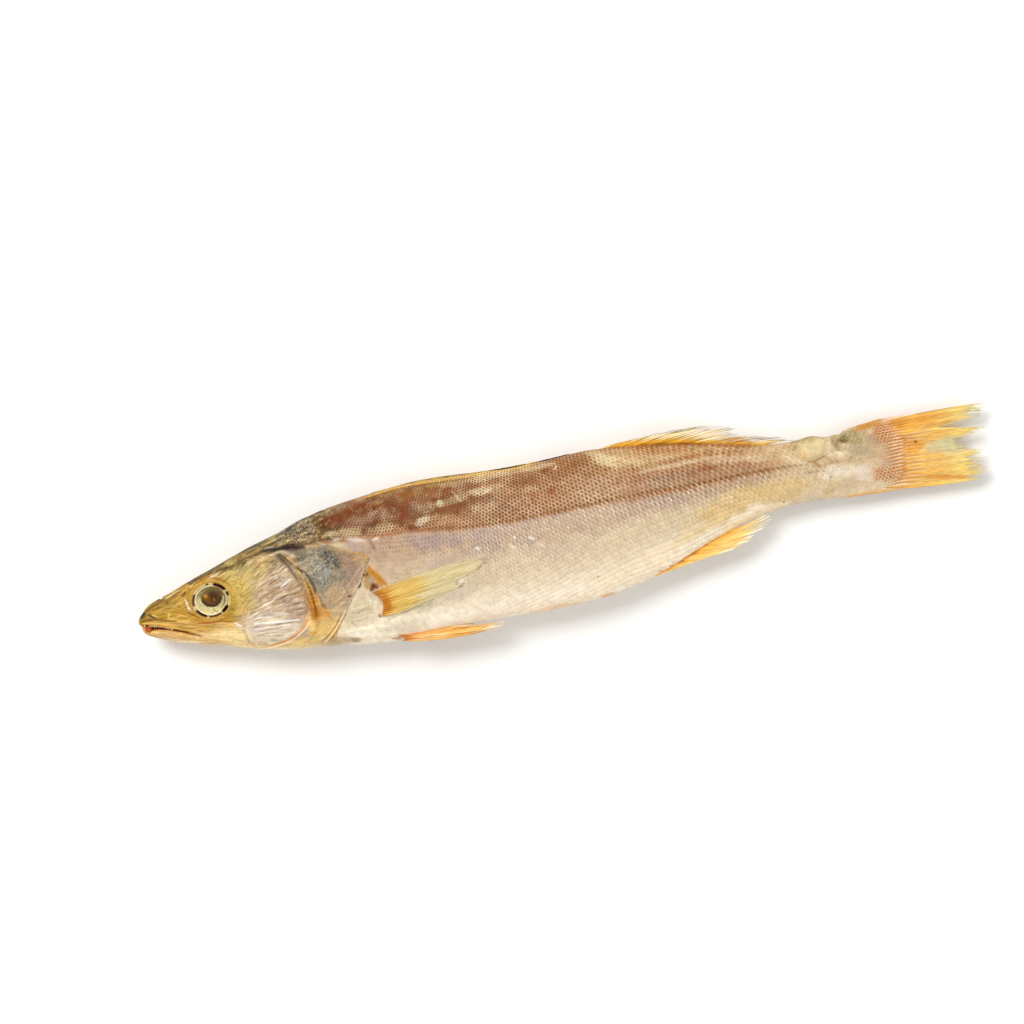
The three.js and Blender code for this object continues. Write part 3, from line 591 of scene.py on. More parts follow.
# bars, streaks and stains of the body, written like the head's patches
bodyPatches = [
    # shoulder
    (86, 24, 8, 2, 12, "#8d7652", 0.5), (85.6, 20.6, 5.6, 1.7, -2, "#783c12", 0.8),
    (96, 22.4, 8, 2.8, -4, "#7c4116", 0.9), (88, 17.6, 4.6, 1.7, -15, "#6c4320", 0.6),
    (97, 18, 6.4, 3, 0, "#754620", 0.7), (103, 18.2, 2, 2.8, -30, "#6a3212", 0.6),
    (101, 15.2, 1.6, 1.5, 0, "#6a3418", 0.5), (98.4, 15.3, 2.2, 1, -10, "#4c2a12", 0.6),
    (96.6, 13.2, 1.3, 1.5, -20, "#5e3218", 0.5), (90.6, 14.4, 5, 1.4, -14, "#c9b98f", 0.6),
    (104, 13, 6, 1.8, -4, "#b59a74", 0.6), (84, 15.2, 3, 1.2, -10, "#cdbd90", 0.6),
    (104.6, 23.4, 2.2, 1.3, 0, "#b08a58", 0.6), (110.6, 19.6, 2.8, 5.6, 4, "#80461a", 0.65),
    (113, 16.2, 2.4, 2.4, 0, "#874320", 0.7), (117, 21.8, 3.4, 3.4, 0, "#8b5326", 0.7),
    (122, 19.8, 3.2, 1.7, -8, "#85501f", 0.6), (126.4, 22, 2.4, 2.1, 0, "#935c2a", 0.6),
    (119, 23.6, 9, 2, 0, "#94682c", 0.7), (108, 26, 9, 1.3, 0, "#9c762f", 0.65),
    (112.8, 12.1, 3.4, 1.6, -20, "#753c20", 0.6), (116.6, 10.3, 2.6, 1.2, -10, "#66361c", 0.5),
    (119.4, 16, 6, 2.6, 0, "#7d6046", 0.6), (124, 17, 6, 2, 0, "#a48a66", 0.5),
    (131, 18.2, 1.5, 1.5, 0, "#855834", 0.45), (133.6, 21.3, 3.2, 1.1, 0, "#9a6030", 0.6),
    (128.6, 17.4, 1.5, 1.4, -20, "#e2d6b8", 0.75), (120.6, 12.2, 3.4, 1.4, 10, "#e0d4ba", 0.75),
    (131, 10, 9, 2.6, -14, "#b48c68", 0.75), (123, 9.8, 4, 1.6, -14, "#976442", 0.6),
    (135, 17.6, 5, 1.6, 8, "#b39a78", 0.6), (139.6, 21.6, 3.6, 1.7, 0, "#8b673e", 0.7),
    (132, 24.8, 9, 1.2, -4, "#ad8a50", 0.6),
    # middle
    (150, 13.6, 11, 2.6, -4, "#8f6242", 0.6), (163, 18.2, 7, 2.4, 0, "#8c5c38", 0.65),
    (150, 18.4, 5, 2, -8, "#b59270", 0.6), (146.6, 20.6, 1.8, 1.2, 0, "#b27c40", 0.7),
    (154, 8.2, 11, 3, -4, "#95674a", 0.7), (157, 8.4, 1.8, 1.2, 0, "#93583a", 0.6),
    (144.6, 18.6, 5, 1.4, -3, "#d0bb96", 0.7), (152, 23.5, 9, 1.2, -3, "#cbb186", 0.7),
    (168, 22.8, 9, 0.9, 0, "#cfb488", 0.7), (143, 9, 6, 2, -10, "#9d7252", 0.5),
    (165, 11, 2.4, 3.4, 0, "#9c6240", 0.6), (172.6, 12.7, 1.6, 1.5, 0, "#93502a", 0.7),
    (171.6, 20.6, 2.2, 1.3, 0, "#8a5122", 0.9), (176, 18.6, 5, 3.6, 0, "#9a6a40", 0.6),
    (183.8, 21, 3, 1.7, 0, "#98602f", 0.7), (182, 14, 6.4, 3, 0, "#a67c58", 0.6),
    (190, 12, 7, 3, -8, "#b28e70", 0.5), (193, 22.8, 4, 1.8, -20, "#cbb084", 0.8),
    (197, 19.2, 6.4, 2.4, -18, "#dfca9f", 0.85), (201.6, 17.6, 2.4, 1, 0, "#bc8440", 0.7),
    (194, 16.6, 4, 1, -20, "#a46c3c", 0.7),
    # hind body
    (211, 20, 9, 1.6, -12, "#b1742f", 0.65), (207.4, 13.2, 3, 0.9, -6, "#a8683c", 0.7),
    (224, 16.6, 12, 2, -14, "#ab6d2c", 0.65), (206, 16.6, 5, 1.5, -14, "#d6bd92", 0.6),
    (222, 15.6, 12, 1.2, -8, "#cfae80", 0.6), (225, 13.3, 15, 0.8, -3, "#a5683e", 0.6),
    (226, 11.2, 21, 0.9, -2, "#dcc4a4", 0.6), (194, 7, 18, 3.2, -4, "#c8ab90", 0.35),
    (219, 7.2, 13, 2, -2, "#987862", 0.65), (234, 7.3, 4.4, 1.1, -4, "#9c5e3a", 0.6),
    (222, 4.2, 16, 1.8, -3, "#ac9078", 0.5), (247, 3.6, 12, 1.8, -6, "#b29474", 0.5),
    (246, 8.3, 10, 1.7, -5, "#d2b294", 0.7), (243.6, 7.5, 0.6, 0.45, -30, "#20120c", 1),
    (221, 8.9, 0.45, 0.45, 0, "#2d1a10", 0.9), (240, 12.4, 12, 1.4, -12, "#a06a34", 0.65),
    (252, 9.6, 8, 0.9, -10, "#c3a27c", 0.6), (255, 6.6, 6, 1.6, -8, "#d3bc9c", 0.7),
    (262, 7, 7, 2, -20, "#c3a67c", 0.6), (270.6, 7.8, 4.4, 1.7, -8, "#ad9562", 0.7),
    (269, 3, 6, 2.4, -25, "#dfcaa6", 0.6), (262, 3, 5, 1.6, -10, "#bd9870", 0.5),
    # silvery skin behind the head and the lilac band under the side line
    (92, 8.4, 4.6, 2.6, -30, "#b9a8a2", 0.6), (86, 10.4, 3, 1.5, -14, "#cfc6a2", 0.7),
    (85.6, 12.6, 2.6, 0.6, -4, "#d9d2c4", 0.7), (92.4, 11.2, 3.8, 0.8, -18, "#d9cdc0", 0.7),
    (100.4, 9.4, 1.4, 0.45, 8, "#efe9de", 0.8), (104, 7.4, 5, 2.4, -8, "#b59b8a", 0.6),
    (118, 4.2, 9, 3.4, -25, "#ac9894", 0.55), (128, 2.6, 8, 2.8, 0, "#ae9c9a", 0.45),
    (98, 4, 6, 3.4, -30, "#b9a086", 0.6), (141, 1.6, 9, 3.2, -6, "#b9a39c", 0.6),
    (158, -0.6, 14, 3, -3, "#bfa796", 0.6), (186, -0.6, 22, 3, -1, "#c9b29c", 0.5),
    (215, -1.6, 16, 2.8, -2, "#baa393", 0.7), (243, -1.8, 18, 2.6, -4, "#b9a083", 0.6),
    (112, -19, 10, 4.4, -6, "#c3b69c", 0.7), (131, -18, 10, 3.6, 6, "#c9bca8", 0.6),
    (106, -3.6, 10, 4.6, -4, "#c6af94", 0.6), (126, -6, 10, 4, 0, "#c2ac9b", 0.6),
    (145, -14, 14, 4, 4, "#d2bfa2", 0.5), (104, -27, 10, 3, -4, "#ddcfb4", 0.6),
    # warm belly and yellow hind flank
    (200, -26, 30, 4.6, 12, "#f5e0c0", 0.6), (160, -31, 30, 2.6, -2, "#fbe8cf", 0.7),
    (240, -9.4, 20, 5.4, 12, "#d8b87a", 0.75), (263, -8, 12, 5, 4, "#d9bc84", 0.75),
    (247, -16.6, 17, 2.4, 13, "#f4d9aa", 0.65), (228, -16, 16, 2.2, 17, "#e8cd9a", 0.7),
    (185.8, -33.3, 3.6, 0.7, 2, "#eca64e", 0.7), (166, -33.6, 12, 1, -2, "#f0c48c", 0.5),
    (204, -10, 20, 4, 6, "#dcc8a6", 0.5),
    # throat, breast and the root of the belly fins
    (80.6, -27.3, 7, 1.5, -12, "#ad9a70", 0.7), (84, -28.3, 2, 0.9, -10, "#94744a", 0.4),
    (90, -24.6, 12, 1.3, -5, "#f7ecd0", 0.7), (87, -17.6, 8, 5, 5, "#cbbb98", 0.7),
    (87, -15, 6, 3, 30, "#d9ccb0", 0.5), (92, -14, 2.4, 3, 0, "#d3c8aa", 0.5),
    (101, -31.8, 2, 1, -10, "#b87a48", 0.5), (94, -29.4, 8, 1.2, -12, "#eadbb8", 0.6),
    (94.2, -3.2, 1.1, 1.9, -25, "#c79c4a", 0.95), (93, -5.6, 1.4, 1, 30, "#b9a070", 0.8),
    (94.9, -6.2, 1.4, 0.8, 25, "#a38e88", 0.85), (95, -8.9, 1.2, 1.7, -15, "#843612", 0.95),
    (94.1, -9.8, 0.7, 0.9, 0, "#6a4a34", 0.8), (85.6, -10, 0.9, 0.45, -10, "#8a4c1a", 0.9),
    # lump and dark patch in front of the tail fin
    (278.6, 5.6, 5.4, 4.2, 0, "#dfcda4", 0.75), (277.6, 8.6, 4.4, 1.2, 0, "#b7a672", 0.6),
    (284.4, 4.6, 1.2, 2.2, -8, "#e0d2b0", 0.4), (274.4, 3.6, 1.6, 2.6, 30, "#cfae78", 0.6),
    (288, 6, 2.4, 3, 0, "#998a64", 0.6), (291.6, 6.2, 1.9, 1.7, 0, "#5a441c", 0.95),
    (295.6, 6.2, 6, 3.4, -14, "#9a8b5e", 0.7), (296.4, 0.2, 6.4, 2.6, -14, "#aca284", 0.65),
    (303.4, 3, 4, 3.2, 0, "#b99c84", 0.7), (304.6, 9.6, 8, 1.6, 3, "#c98c34", 0.85),
    (288, 0.6, 5, 1.6, -12, "#e4d4b2", 0.7), (276.4, -3.8, 5, 0.9, -6, "#a9927a", 0.7),
    (288, -6.4, 10, 3, -8, "#e9dcc6", 0.75), (291.6, -10.8, 6, 3, 16, "#cab292", 0.7),
    (282.6, -12, 5, 1.8, 15, "#cbae80", 0.6), (298, -9, 6, 3.4, 0, "#e4d6c4", 0.75),
    (270, -6.4, 0.4, 0.4, 0, "#5c3a22", 0.9), (282.6, -7.4, 0.5, 0.5, 0, "#8a6848", 0.8),
    (262.3, -12.8, 0.4, 0.4, 0, "#6a4628", 0.8), (183, -25, 0.5, 0.4, 0, "#7c4a2a", 0.7),
    (307.6, 5, 4.4, 4.2, 0, "#c47c40", 0.8), (305, -10.8, 6, 3.8, -18, "#c88448", 0.7),
    (307.6, -4.6, 4, 4.4, 0, "#c4a48c", 0.7), (313.4, -3, 3.2, 8, 0, "#ecd0ac", 0.5),
    (314, 7, 4, 3, 0, "#dc9c4c", 0.8),
]

# lines of the body, written like the head's
bodyLines = [
    (0.75, 0.3, "#e0b24a", 0.9, (94, 26.2), (107, 27.2), (114, 27.2), (124, 26.9), (136, 26), (148, 24.9),
     (160, 24.3), (172, 24.4)),
    (0.3, -0.25, "#6f4b1c", 0.7, (100, 26), (110, 26.5), (122, 26.2), (134, 25.3), (146, 24.3)),
    (0.5, -0.3, "#84705f", 0.8, (98, 9.8), (98.8, 7.4), (99.6, 4.8)),
    (0.3, 0.15, "#e6d8bc", 0.6, (134, 21.4), (136, 17.6), (137, 16)),
    (0.3, 0.15, "#ecdcc0", 0.75, (145, 16.8), (147.6, 17.8), (150, 18.8)),
    (0.28, 0.12, "#efe0c6", 0.7, (175.4, 20.2), (177, 21.8)),
    # orange skin and dark scabs in the slit behind the gill cover, painted shade of the gill opening under
    # the cover's edge, root of the side fin
    (1.7, -0.2, "#b08f4e", 0.85, (94.4, -1.8), (94.6, -4.4), (93.4, -7.6), (92, -9)),
    (0.95, 0.2, "#bf8224", 1, (94.8, 0.2), (97, -3.4), (99.2, -6.8), (101, -9.8)),
    (1.3, 0.1, "#c28c36", 0.95, (95.2, -1.6), (97.2, -5.4), (99, -9.8)),
    (0.35, -0.2, "#c08a2e", 0.7, (96.6, -7.4), (97.4, -9.8)),
    # the next two: painted shade where the gill opening shows dark under the cover's hind edge
    (0.6, -0.3, "#5c3a16", 0.95, (93, -3), (92.4, -4)),
    (0.5, -0.3, "#4c200c", 0.95, (90.9, -6.5), (90.2, -7.3), (89.6, -8.1)),
    (0.7, 0.3, "#b6a098", 0.95, (93.8, -6.8), (95.6, -5.6), (96.2, -4.8)),
    (0.95, -0.2, "#74320f", 0.95, (95, -7.4), (96, -8.6), (97.2, -10)),
    (0.4, -0.2, "#5c3812", 0.9, (94.6, -3), (93.4, -4.2)),
    (0.4, 0.2, "#a98a74", 0.7, (94, -10.6), (95.2, -11.6), (96.6, -13.6), (97, -16.6)),
    (0.5, 0.2, "#5c3c36", 0.85, (94.8, -19.6), (95.2, -20.6), (95, -21.4)),
    (0.35, 0.2, "#ecbc60", 0.8, (97, -10.8), (100.4, -10.2), (103, -10)),
    # wrinkles of the breast, with painted shade along their grooves and painted highlights along their ridges
    (0.3, -0.25, "#b8ab88", 0.6, (83, -16.8), (87, -17.6), (91, -17), (93.6, -18)),
    (0.3, 0.25, "#f3ead6", 0.6, (84, -15.2), (88, -15.8), (92, -15.2)),
    (0.3, 0.25, "#f1e7d0", 0.6, (82.4, -19), (86, -20), (91, -19.4), (94, -20.8)),
    (0.3, -0.25, "#b5a783", 0.6, (83.6, -21), (85, -22.6), (86.2, -23.4)),
    (0.3, -0.25, "#bcb092", 0.6, (88.4, -12.4), (90.4, -13.6), (91, -15)),
    (0.35, 0.3, "#f7f0df", 0.65, (92, -11.4), (93, -13.6), (92.6, -16)),
    (0.4, 0.2, "#f8eed8", 0.6, (76, -24.2), (84, -24.3), (92, -24.6), (100, -26)),
    (0.3, -0.15, "#b9ab88", 0.5, (96.4, -23.4), (103, -21.9), (112, -20.8), (118, -20)),
    (0.35, -0.2, "#b5713a", 0.6, (97, -31), (99.6, -31.2), (102, -30.6), (104.4, -31)),
    (0.4, -0.15, "#d08a44", 0.6, (98, -32.6), (102, -33), (108, -32.2), (118, -32.4)),
    # painted glints on scale edges of the flank
    (0.36, 0.2, "#ffffff", 0.9, (153.6, -1.8), (154.6, -3)),
    (0.36, 0.2, "#fffdf8", 0.85, (159.4, -3.2), (161.8, -5)),
    (0.3, 0.15, "#fbf6ee", 0.8, (151.4, -4.4), (153.8, -7.2)),
    (0.28, 0.15, "#fbf6ee", 0.7, (162.6, -6.2), (165.4, -9)),
    (0.42, 0.2, "#f8f2e4", 0.9, (138, -2.8), (140, -3.8)),
    (0.3, 0.15, "#f6f1ea", 0.8, (125.6, -16.8), (131, -14.2)),
    (0.26, 0.12, "#f2ece4", 0.6, (127.4, -15.2), (132, -13)),
    # folds beside the lump, roots of the second back fin and of the anal fin
    (0.45, 0.25, "#ead9b8", 0.6, (266, 5.8), (269, 3), (273, 0.6), (277, -1.8)),
    (0.3, -0.25, "#b99a6e", 0.6, (268, 6.6), (272, 3.4), (275.6, 0.6), (279, -2.2)),
    (0.34, -0.4, "#a8854c", 0.8, (275, 0.6), (277.4, 0.2), (280, 0.8), (283, 1.4)),
    (0.4, -0.4, "#9c7c48", 0.8, (277.6, 0.2), (278.8, -1.4), (279.8, -2.8)),
    (0.3, 0.25, "#e9dcc0", 0.4, (286.2, 8.6), (285.6, 5.6), (284.6, 3.2), (282.6, 1.8)),
    (0.4, -0.3, "#98875c", 0.6, (286.6, 8.8), (287.6, 5), (290, 0.6), (294, -2.6)),
    (0.4, 0.2, "#f1e6cb", 0.6, (283, 1.2), (288, 1.4), (291, -0.2)),
    (0.5, 0.1, "#8d8158", 0.7, (270, 9.6), (275, 9.4), (281, 9.6)),
    (0.75, 0.25, "#a8651a", 0.85, (192, 24.4), (200, 23.4), (208, 22), (216, 20.3), (224, 19.2),
     (232, 17.4), (240, 15.3), (250, 12.5), (259, 10.9)),
    (0.28, 0.12, "#eb9c3c", 0.6, (205, -29.9), (213, -27.7), (220, -25), (227, -22.6), (234, -20.3)),
    (0.35, -0.2, "#cf9668", 0.6, (206.4, -28.6), (209, -28.6)),
    (0.35, -0.2, "#c0835a", 0.7, (211.6, -27.6), (214, -27.6)),
    (0.9, 0.1, "#f0b45e", 0.8, (286, -16.4), (294, -17.2), (302, -17.8), (314, -18.2)),
]

skinShape = {
    # scales: cells for each millimetre along the fish and round it, and the lean of their rows
    "scalesAlong": [(55, 0.98), (95, 0.84), (110, 0.76), (125, 0.68), (140, 0.66), (155, 0.62), (170, 0.58),
                    (190, 0.53), (215, 0.5), (230, 0.455), (250, 0.44), (270, 0.42), (285, 0.48),
                    (300, 0.6), (318, 0.7)],
    "scalesLean": [(55, -0.02), (95, 0), (110, 0.01), (125, 0.14), (150, 0.23), (200, 0.28), (225, 0.25),
                   (240, 0.16), (318, 0.1)],
    # rows above and below the side line, and how they climb towards the tail
    "rowsAbove": [(55, 0.46), (95, 0.45), (110, 0.41), (140, 0.41), (155, 0.36), (170, 0.32), (185, 0.29),
                  (200, 0.29), (230, 0.3), (250, 0.315), (285, 0.36), (300, 0.45), (318, 0.5)],
    "rowsBelow": [(55, 0.3), (125, 0.27), (150, 0.27), (170, 0.25), (190, 0.235), (225, 0.245), (240, 0.28),
                  (285, 0.34), (300, 0.45), (318, 0.5)],
    "rowsClimb": [(55, 0.04), (110, 0.02), (125, -0.07), (150, -0.11), (185, -0.1), (200, -0.05),
                  (230, -0.03), (250, 0), (318, 0)],
    "aspect": 1.9, "scaleStep": 0.1,
    "undulation": 0.3, "undulationPitch": 10.0,      # hide pulled over muscle as it dried
    "lump": (278.6, 5.2), "lumpRadius": 6.6, "lumpRise": 0.9,
}
scalesAlong, scalesLean, rowsAbove, rowsBelow, rowsClimb = (
    smoothCurve(skinShape[key]) for key in ("scalesAlong", "scalesLean", "rowsAbove", "rowsBelow",
                                            "rowsClimb"))


# offset from the nearest scale's middle and closeness to its edge, in scale widths: the middles
# sit on two rectangular lattices half a cell apart, which together make six-sided cells
def scaleCell(place):
    size = np.array([1.0, skinShape["aspect"]])
    first = (place % 1 - 0.5) * size
    second = ((place + 0.5) % 1 - 0.5) * size
    reach = np.hypot(first[..., 0], first[..., 1]), np.hypot(second[..., 0], second[..., 1])
    offset = np.where((reach[1] < reach[0])[..., None], second, first)
    return offset, np.minimum(np.abs(reach[0] - reach[1]), 1.6 * (0.5 - np.abs(offset[..., 0])))


# wrinkles that fan out over the cheek from below the eye: clouds over the angle and a little
# over the distance, strongest in the middle of the cheek
def cheekWrinkles(along, height):
    angle = fanAngle(along, height) + 1.6 * mottle(along, height, 6, 20)
    lines = 0.85 * clouds(angle, along * 0.16, 0.7, 21) + 0.8 * clouds(angle, along * 0.3, 0.4, 22)
    lines = lines * (0.75 + 0.5 * mottle(along, height, 4, 23)) + 0.35 * mottle(along, height, 1.1, 24)
    return lines * rise(along, 42, 50) * rise(coverFront(along, height), 0.2, 2) * rise(height, -22, -17)


# relief of the head: lines, rim of the eye and its socket, cheek wrinkles, the bands behind the
# cheek and the gap of the mouth, summed as a height along the normal
def headRelief(along, height):
    relief = 0.07 * mottle(along, height, 2.2, 5) + 0.16 * mottle(along, height, 9, 8)
    for width, depth, colour, strength, *points in headLines:
        relief += depth * stroke(along, height, points, width)
    distance, angle = eyePolar(along, height)
    relief += 0.65 * bell(distance, eye["rim"], 1.5) + 0.25 * bell(distance, eye["socket"] + 0.4, 0.5)
    inner = eye["ball"] - 0.1 + (eye["socket"] - eye["ball"]) * crescentOpen(angle)
    relief -= 0.9 * (1 - rise(distance, inner - 0.15, inner + 0.2))
    relief += 0.17 * cheekWrinkles(along, height) * (1 - rise(height, 9, 13))
    behind = -coverFront(along, height)
    relief += 0.5 * rise(behind, 0.2, 1.0) * (1 - rise(behind, 4.6, 6.4)) * rise(along, 58, 64)
    relief += 0.2 * rise(along, 62, 74)
    gap = mouthInside(along, height)
    depth = np.minimum(mouth["depth"], np.maximum(halfThickness(along) - 0.9, 0.25))
    relief -= depth * (1 - 0.55 * lipShare(along, height)) * rise(gap, -0.12, 0.35)
    return relief


# relief of the body: slow undulation, scales, side line, lump and lines, sunk under the gill cover
def bodyRelief(along, height, place, scaly):
    offset, edge = scaleCell(place)
    tile = rise(edge, 0.0, 0.4) * (0.7 + 0.6 * offset[..., 0]) * (1 - rise(scalesAlong(along), 0.6, 0.75))
    relief = skinShape["scaleStep"] * scaly * (tile - 0.5)
    relief += skinShape["undulation"] * mottle(along * 0.6, height, skinShape["undulationPitch"], 31)
    relief += 0.06 * mottle(along * 0.5 + height * 0.25, height, 2.4, 35)
    rowLines = np.cos(4 * math.pi * place[..., 1]) * rise(along, 130, 160) * (1 - rise(along, 240, 262))
    relief += 0.045 * rowLines * (1 - rise(height, lateralLine(along) - 8, lateralLine(along) - 2))
    relief -= 0.2 * bell(height, lateralLine(along), 0.6) * rise(along, 84, 92)
    for width, depth, colour, strength, *points in bodyLines:
        relief += depth * stroke(along, height, points, width)
    reach = np.hypot(along - skinShape["lump"][0], (height - skinShape["lump"][1]) * 0.9)
    relief += skinShape["lumpRise"] * (1 - rise(reach, 2.2, skinShape["lumpRadius"]))
    relief -= 0.6 * bell(along, 287.6 + 0.3 * height, 1.1) * rise(height, -3, 1)
    shoulder = bell(np.hypot((along - 89) / 8, (height + 18) / 9), 0, 1)
    creases = mottle(along + 0.5 * height, height, 1.1, 41) + mottle(along * 0.7, height * 1.6, 1.9, 42)
    relief += 0.16 * shoulder * creases
    relief += 0.3 * mottle(along * 0.25, height, 1.5, 43) * rise(along, 303, 308)
    return relief - gill["gap"] * rise(coverInside(along, height), -0.6, 0.8)


# at the nape head and body lie in one surface: each sinks under the other beyond their overlap
def napeSink(along, height, forHead):
    onNape = rise(height - gillTop(along), -0.6, 0.6)
    share = rise(along, 70, 77)
    if forHead:
        return onNape * (0.3 * share + 1.2 * rise(along, 78, 80.5))
    return onNape * (0.3 * (1 - share) + 2.0 * (1 - rise(along, 60, 66)))


# lay patches over a tint, each edge wandering with clouds of its own seed
def paintPatches(tint, along, height, patches, wander, seeds):
    for (a, h, long, wide, turn, colour, strength), seed in zip(patches, seeds):
        mask = blot(along, height, (a, h), (long, wide), turn, wander, seed)
        tint = blend(tint, colour, strength * mask)
    return tint


# lay lines over a tint
def paintLines(tint, along, height, lines):
    for width, depth, colour, strength, *points in lines:
        tint = blend(tint, colour, strength * stroke(along, height, points, width * 1.05))
    return tint


# share of the tail fin's rays, by height where they leave the flesh
tailRayShare = smoothCurve([(-16.5, 1), (-12.6, 0.857), (-8.5, 0.714), (-4.1, 0.571), (0.1, 0.429),
                            (4.0, 0.286),
                            (7.2, 0.143), (9.0, 0)])


# layers from the side line up to the back and down to the belly, over each other as the shares
# of the way up and down rise, then marks, the roots of the tail fin's rays and fine clouds
def bodyTint(along, height):
    line, top, bottom = lateralLine(along), backLine(along), bellyLine(along)
    up = np.clip((height - line) / (top - line), 0, 1)
    down = np.clip((line - height) / (line - bottom), 0, 1)
    hind = rise(along, 185, 205)
    wander = 0.14 * mottle(along * 0.7, height, 6, 51) * rise(height, line - 6, line + 1)
    wander = wander + 0.03 * mottle(along * 0.4, height, 9, 52)
    front = 1 - rise(along, 118, 158)
    stain = mottle(along, height, 4.2, 57) + 0.5 * mottle(along * 1.5, height, 1.6, 58)
    olive = 1 - rise(along + 3 * mottle(along, height, 3.4, 61), 82, 90)
    olive = olive * rise(height, line - 1, line + 1)
    lilac = rise(-stain, -0.1, 0.5) * rise(down, 0, 0.02) * (1 - rise(down, 0.2, 0.5))
    lilac = lilac * (1 - rise(along, 150, 230))
    high, low = up + wander, down + wander
    tint = layOver(
        np.zeros(along.shape + (3,)) + linearColour("#a97a56"),
        ("#9a6c3f", rise(high, 0.3, 0.7)),
        ("#8a5f38", front * rise(high, 0.0, 0.2)),
        ("#7d4416", 0.95 * front * rise(high, 0.2, 0.45) * rise(stain, -0.9, -0.1)),
        ("#562708", 0.8 * front * rise(high, 0.2, 0.5) * rise(stain, 0.0, 0.6)),
        ("#8c5a30", 0.6 * (1 - front) * (1 - hind) * rise(up, 0.2, 0.5) * rise(stain, -0.1, 0.7)),
        ("#c3a276", hind * rise(high, 0.3, 0.7) * 0.9),
        ("#a97a50", 0.45 * hind * rise(up, 0.2, 0.4) * rise(stain, 0.1, 0.8) * (1 - rise(along, 250, 270))),
        ("#644620", 0.9 * olive),
        ("#3b230e", 0.85 * olive * rise(mottle(along, height * 1.5, 1.2, 62), 0.05, 0.45)),
        ("#c4b083", 0.75 * olive * rise(-mottle(along, height * 1.5, 1.1, 63), 0.15, 0.45)),
        ("#c2a78d", rise(down + wander * 0.3, 0.0, 0.04 + 0.1 * hind)),
        ("#d5c2a8", rise(low, 0.14, 0.42)),
        ("#e8d7bd", rise(low, 0.42, 0.72)),
        ("#fff2dd", rise(low, 0.64, 0.92)),
        ("#a5938e", 0.55 * lilac),
        ("#d7c29f", rise(along, 250, 272) * 0.8))
    tint = paintPatches(tint, along, height, bodyPatches, 0.45, itertools.count(60))
    tint = paintLines(tint, along, height, bodyLines)
    rays = 0.5 - 0.5 * np.cos(2 * math.pi * fish["tailRays"] * tailRayShare(height))
    rooted = rise(along + 2.2 * mottle(along * 0.15, height, 1.3, 95), 304, 311)
    beads = 0.5 + 0.5 * np.cos(2 * math.pi * along / fish["scalePitch"])
    side = bell(height, line + 0.3, 0.75) * rise(along, 104, 130)
    side = side * (1 - 0.7 * rise(along, 262, 275) - 0.3 * rise(along, 284, 298))
    tint = layOver(
        tint,
        ("#c8802e", 0.85 * rooted * rise(rays, 0.15, 0.7)),
        ("#f0dcc2", 0.65 * rooted * (1 - rise(rays, 0.0, 0.4))),
        ("#8a5a1c", 0.9 * side * (0.2 + 0.8 * beads)))
    fine = mottle(along + 0.5 * height, height, 1.5, 91)
    return tint * (1 + (0.12 - 0.08 * rise(down, 0, 0.3) * rise(along, 108, 120)) * fine)[..., None]


# strength of the dark scale pockets, of the pale net between them and of the pale rims: products
# of rises along and across the body, patchy with the clouds and weaker on dark skin
def bodyMarks(along, height, tint):
    line, bottom = lateralLine(along), bellyLine(along)
    down = np.clip((line - height) / (line - bottom), 0, 1)
    above = rise(height, line - 0.3, line + 1.0)
    below = 1 - above
    patchy = 0.95 + 0.35 * mottle(along * 0.7, height, 5, 101) + 0.3 * mottle(along * 0.7, height, 13, 102)
    scaly = rise(along + 0.25 * height, 78, 90) * (1 - rise(along, 309, 314))
    scaly = scaly * (1 - 0.85 * bell(np.hypot((along - 280) / 7, (height - 3) / 7), 0, 1))
    front = 1 - rise(along, 128, 150)
    mid = rise(along, 134, 158)
    hind = rise(along, 185, 215)
    fleck = front * rise(mottle(along, height, 2.4, 103), 0.05, 0.5)
    clear = np.maximum(0.12 + 0.88 * rise(tint.mean(-1), 0.1, 0.24), 0.75 * fleck)
    freckles = 0.32 * bell(height, line - 4, 5) * rise(along, 96, 104) * (1 - rise(along, 135, 165))
    pockets = above * (0.92 - 0.28 * mid - 0.34 * hind) + below * freckles
    pockets = pockets + below * (0.1 + 0.4 * bell(height, line - 2.6, 3.4) * rise(along, 170, 215))
    broken = 1 - 0.8 * front * rise(mottle(along, height, 1.6, 104), -0.25, 0.3)
    net = above * (0.85 - 0.15 * front - 0.25 * rise(along, 158, 174) - 0.4 * hind) * clear * broken
    net = net + below * 0.1
    rims = above * (0.1 + 0.12 * mid + 0.15 * hind) * clear
    rims = rims + below * (0.55 - 0.35 * rise(down, 0.25, 0.9)) * rise(along, 110, 150)
    calm = 1 - 0.35 * rise(along, 245, 272) - 0.35 * rise(along, 276, 290) * rise(-height, 0, 4)
    pockets, net, rims = pockets * calm, net * calm, rims * calm * (1 - rise(along, 299, 303))
    cluster = np.maximum(bell(np.hypot((along - 308.4) / 4.4, (height - 4.4) / 3.9), 0, 1),
                         bell(np.hypot((along - 305.4) / 5.0, (height + 11.8) / 4.2), 0, 1))
    pockets, net = pockets * (1 - cluster) + 0.75 * cluster, net * (1 - cluster) + 0.95 * cluster
    pockets = pockets * (1 - 0.5 * front * (1 - clear))
    bare = 1 - 0.7 * rise(-along, -104, -96) * below
    return np.stack([pockets, net, rims], -1) * (scaly * patchy * bare)[..., None]


# how far the dark band over the skull reaches down from the back
skullBand = smoothCurve([(18, 1.2), (30, 2.8), (45, 4.8), (60, 6.0), (68, 8.6), (76, 11), (84, 12)])
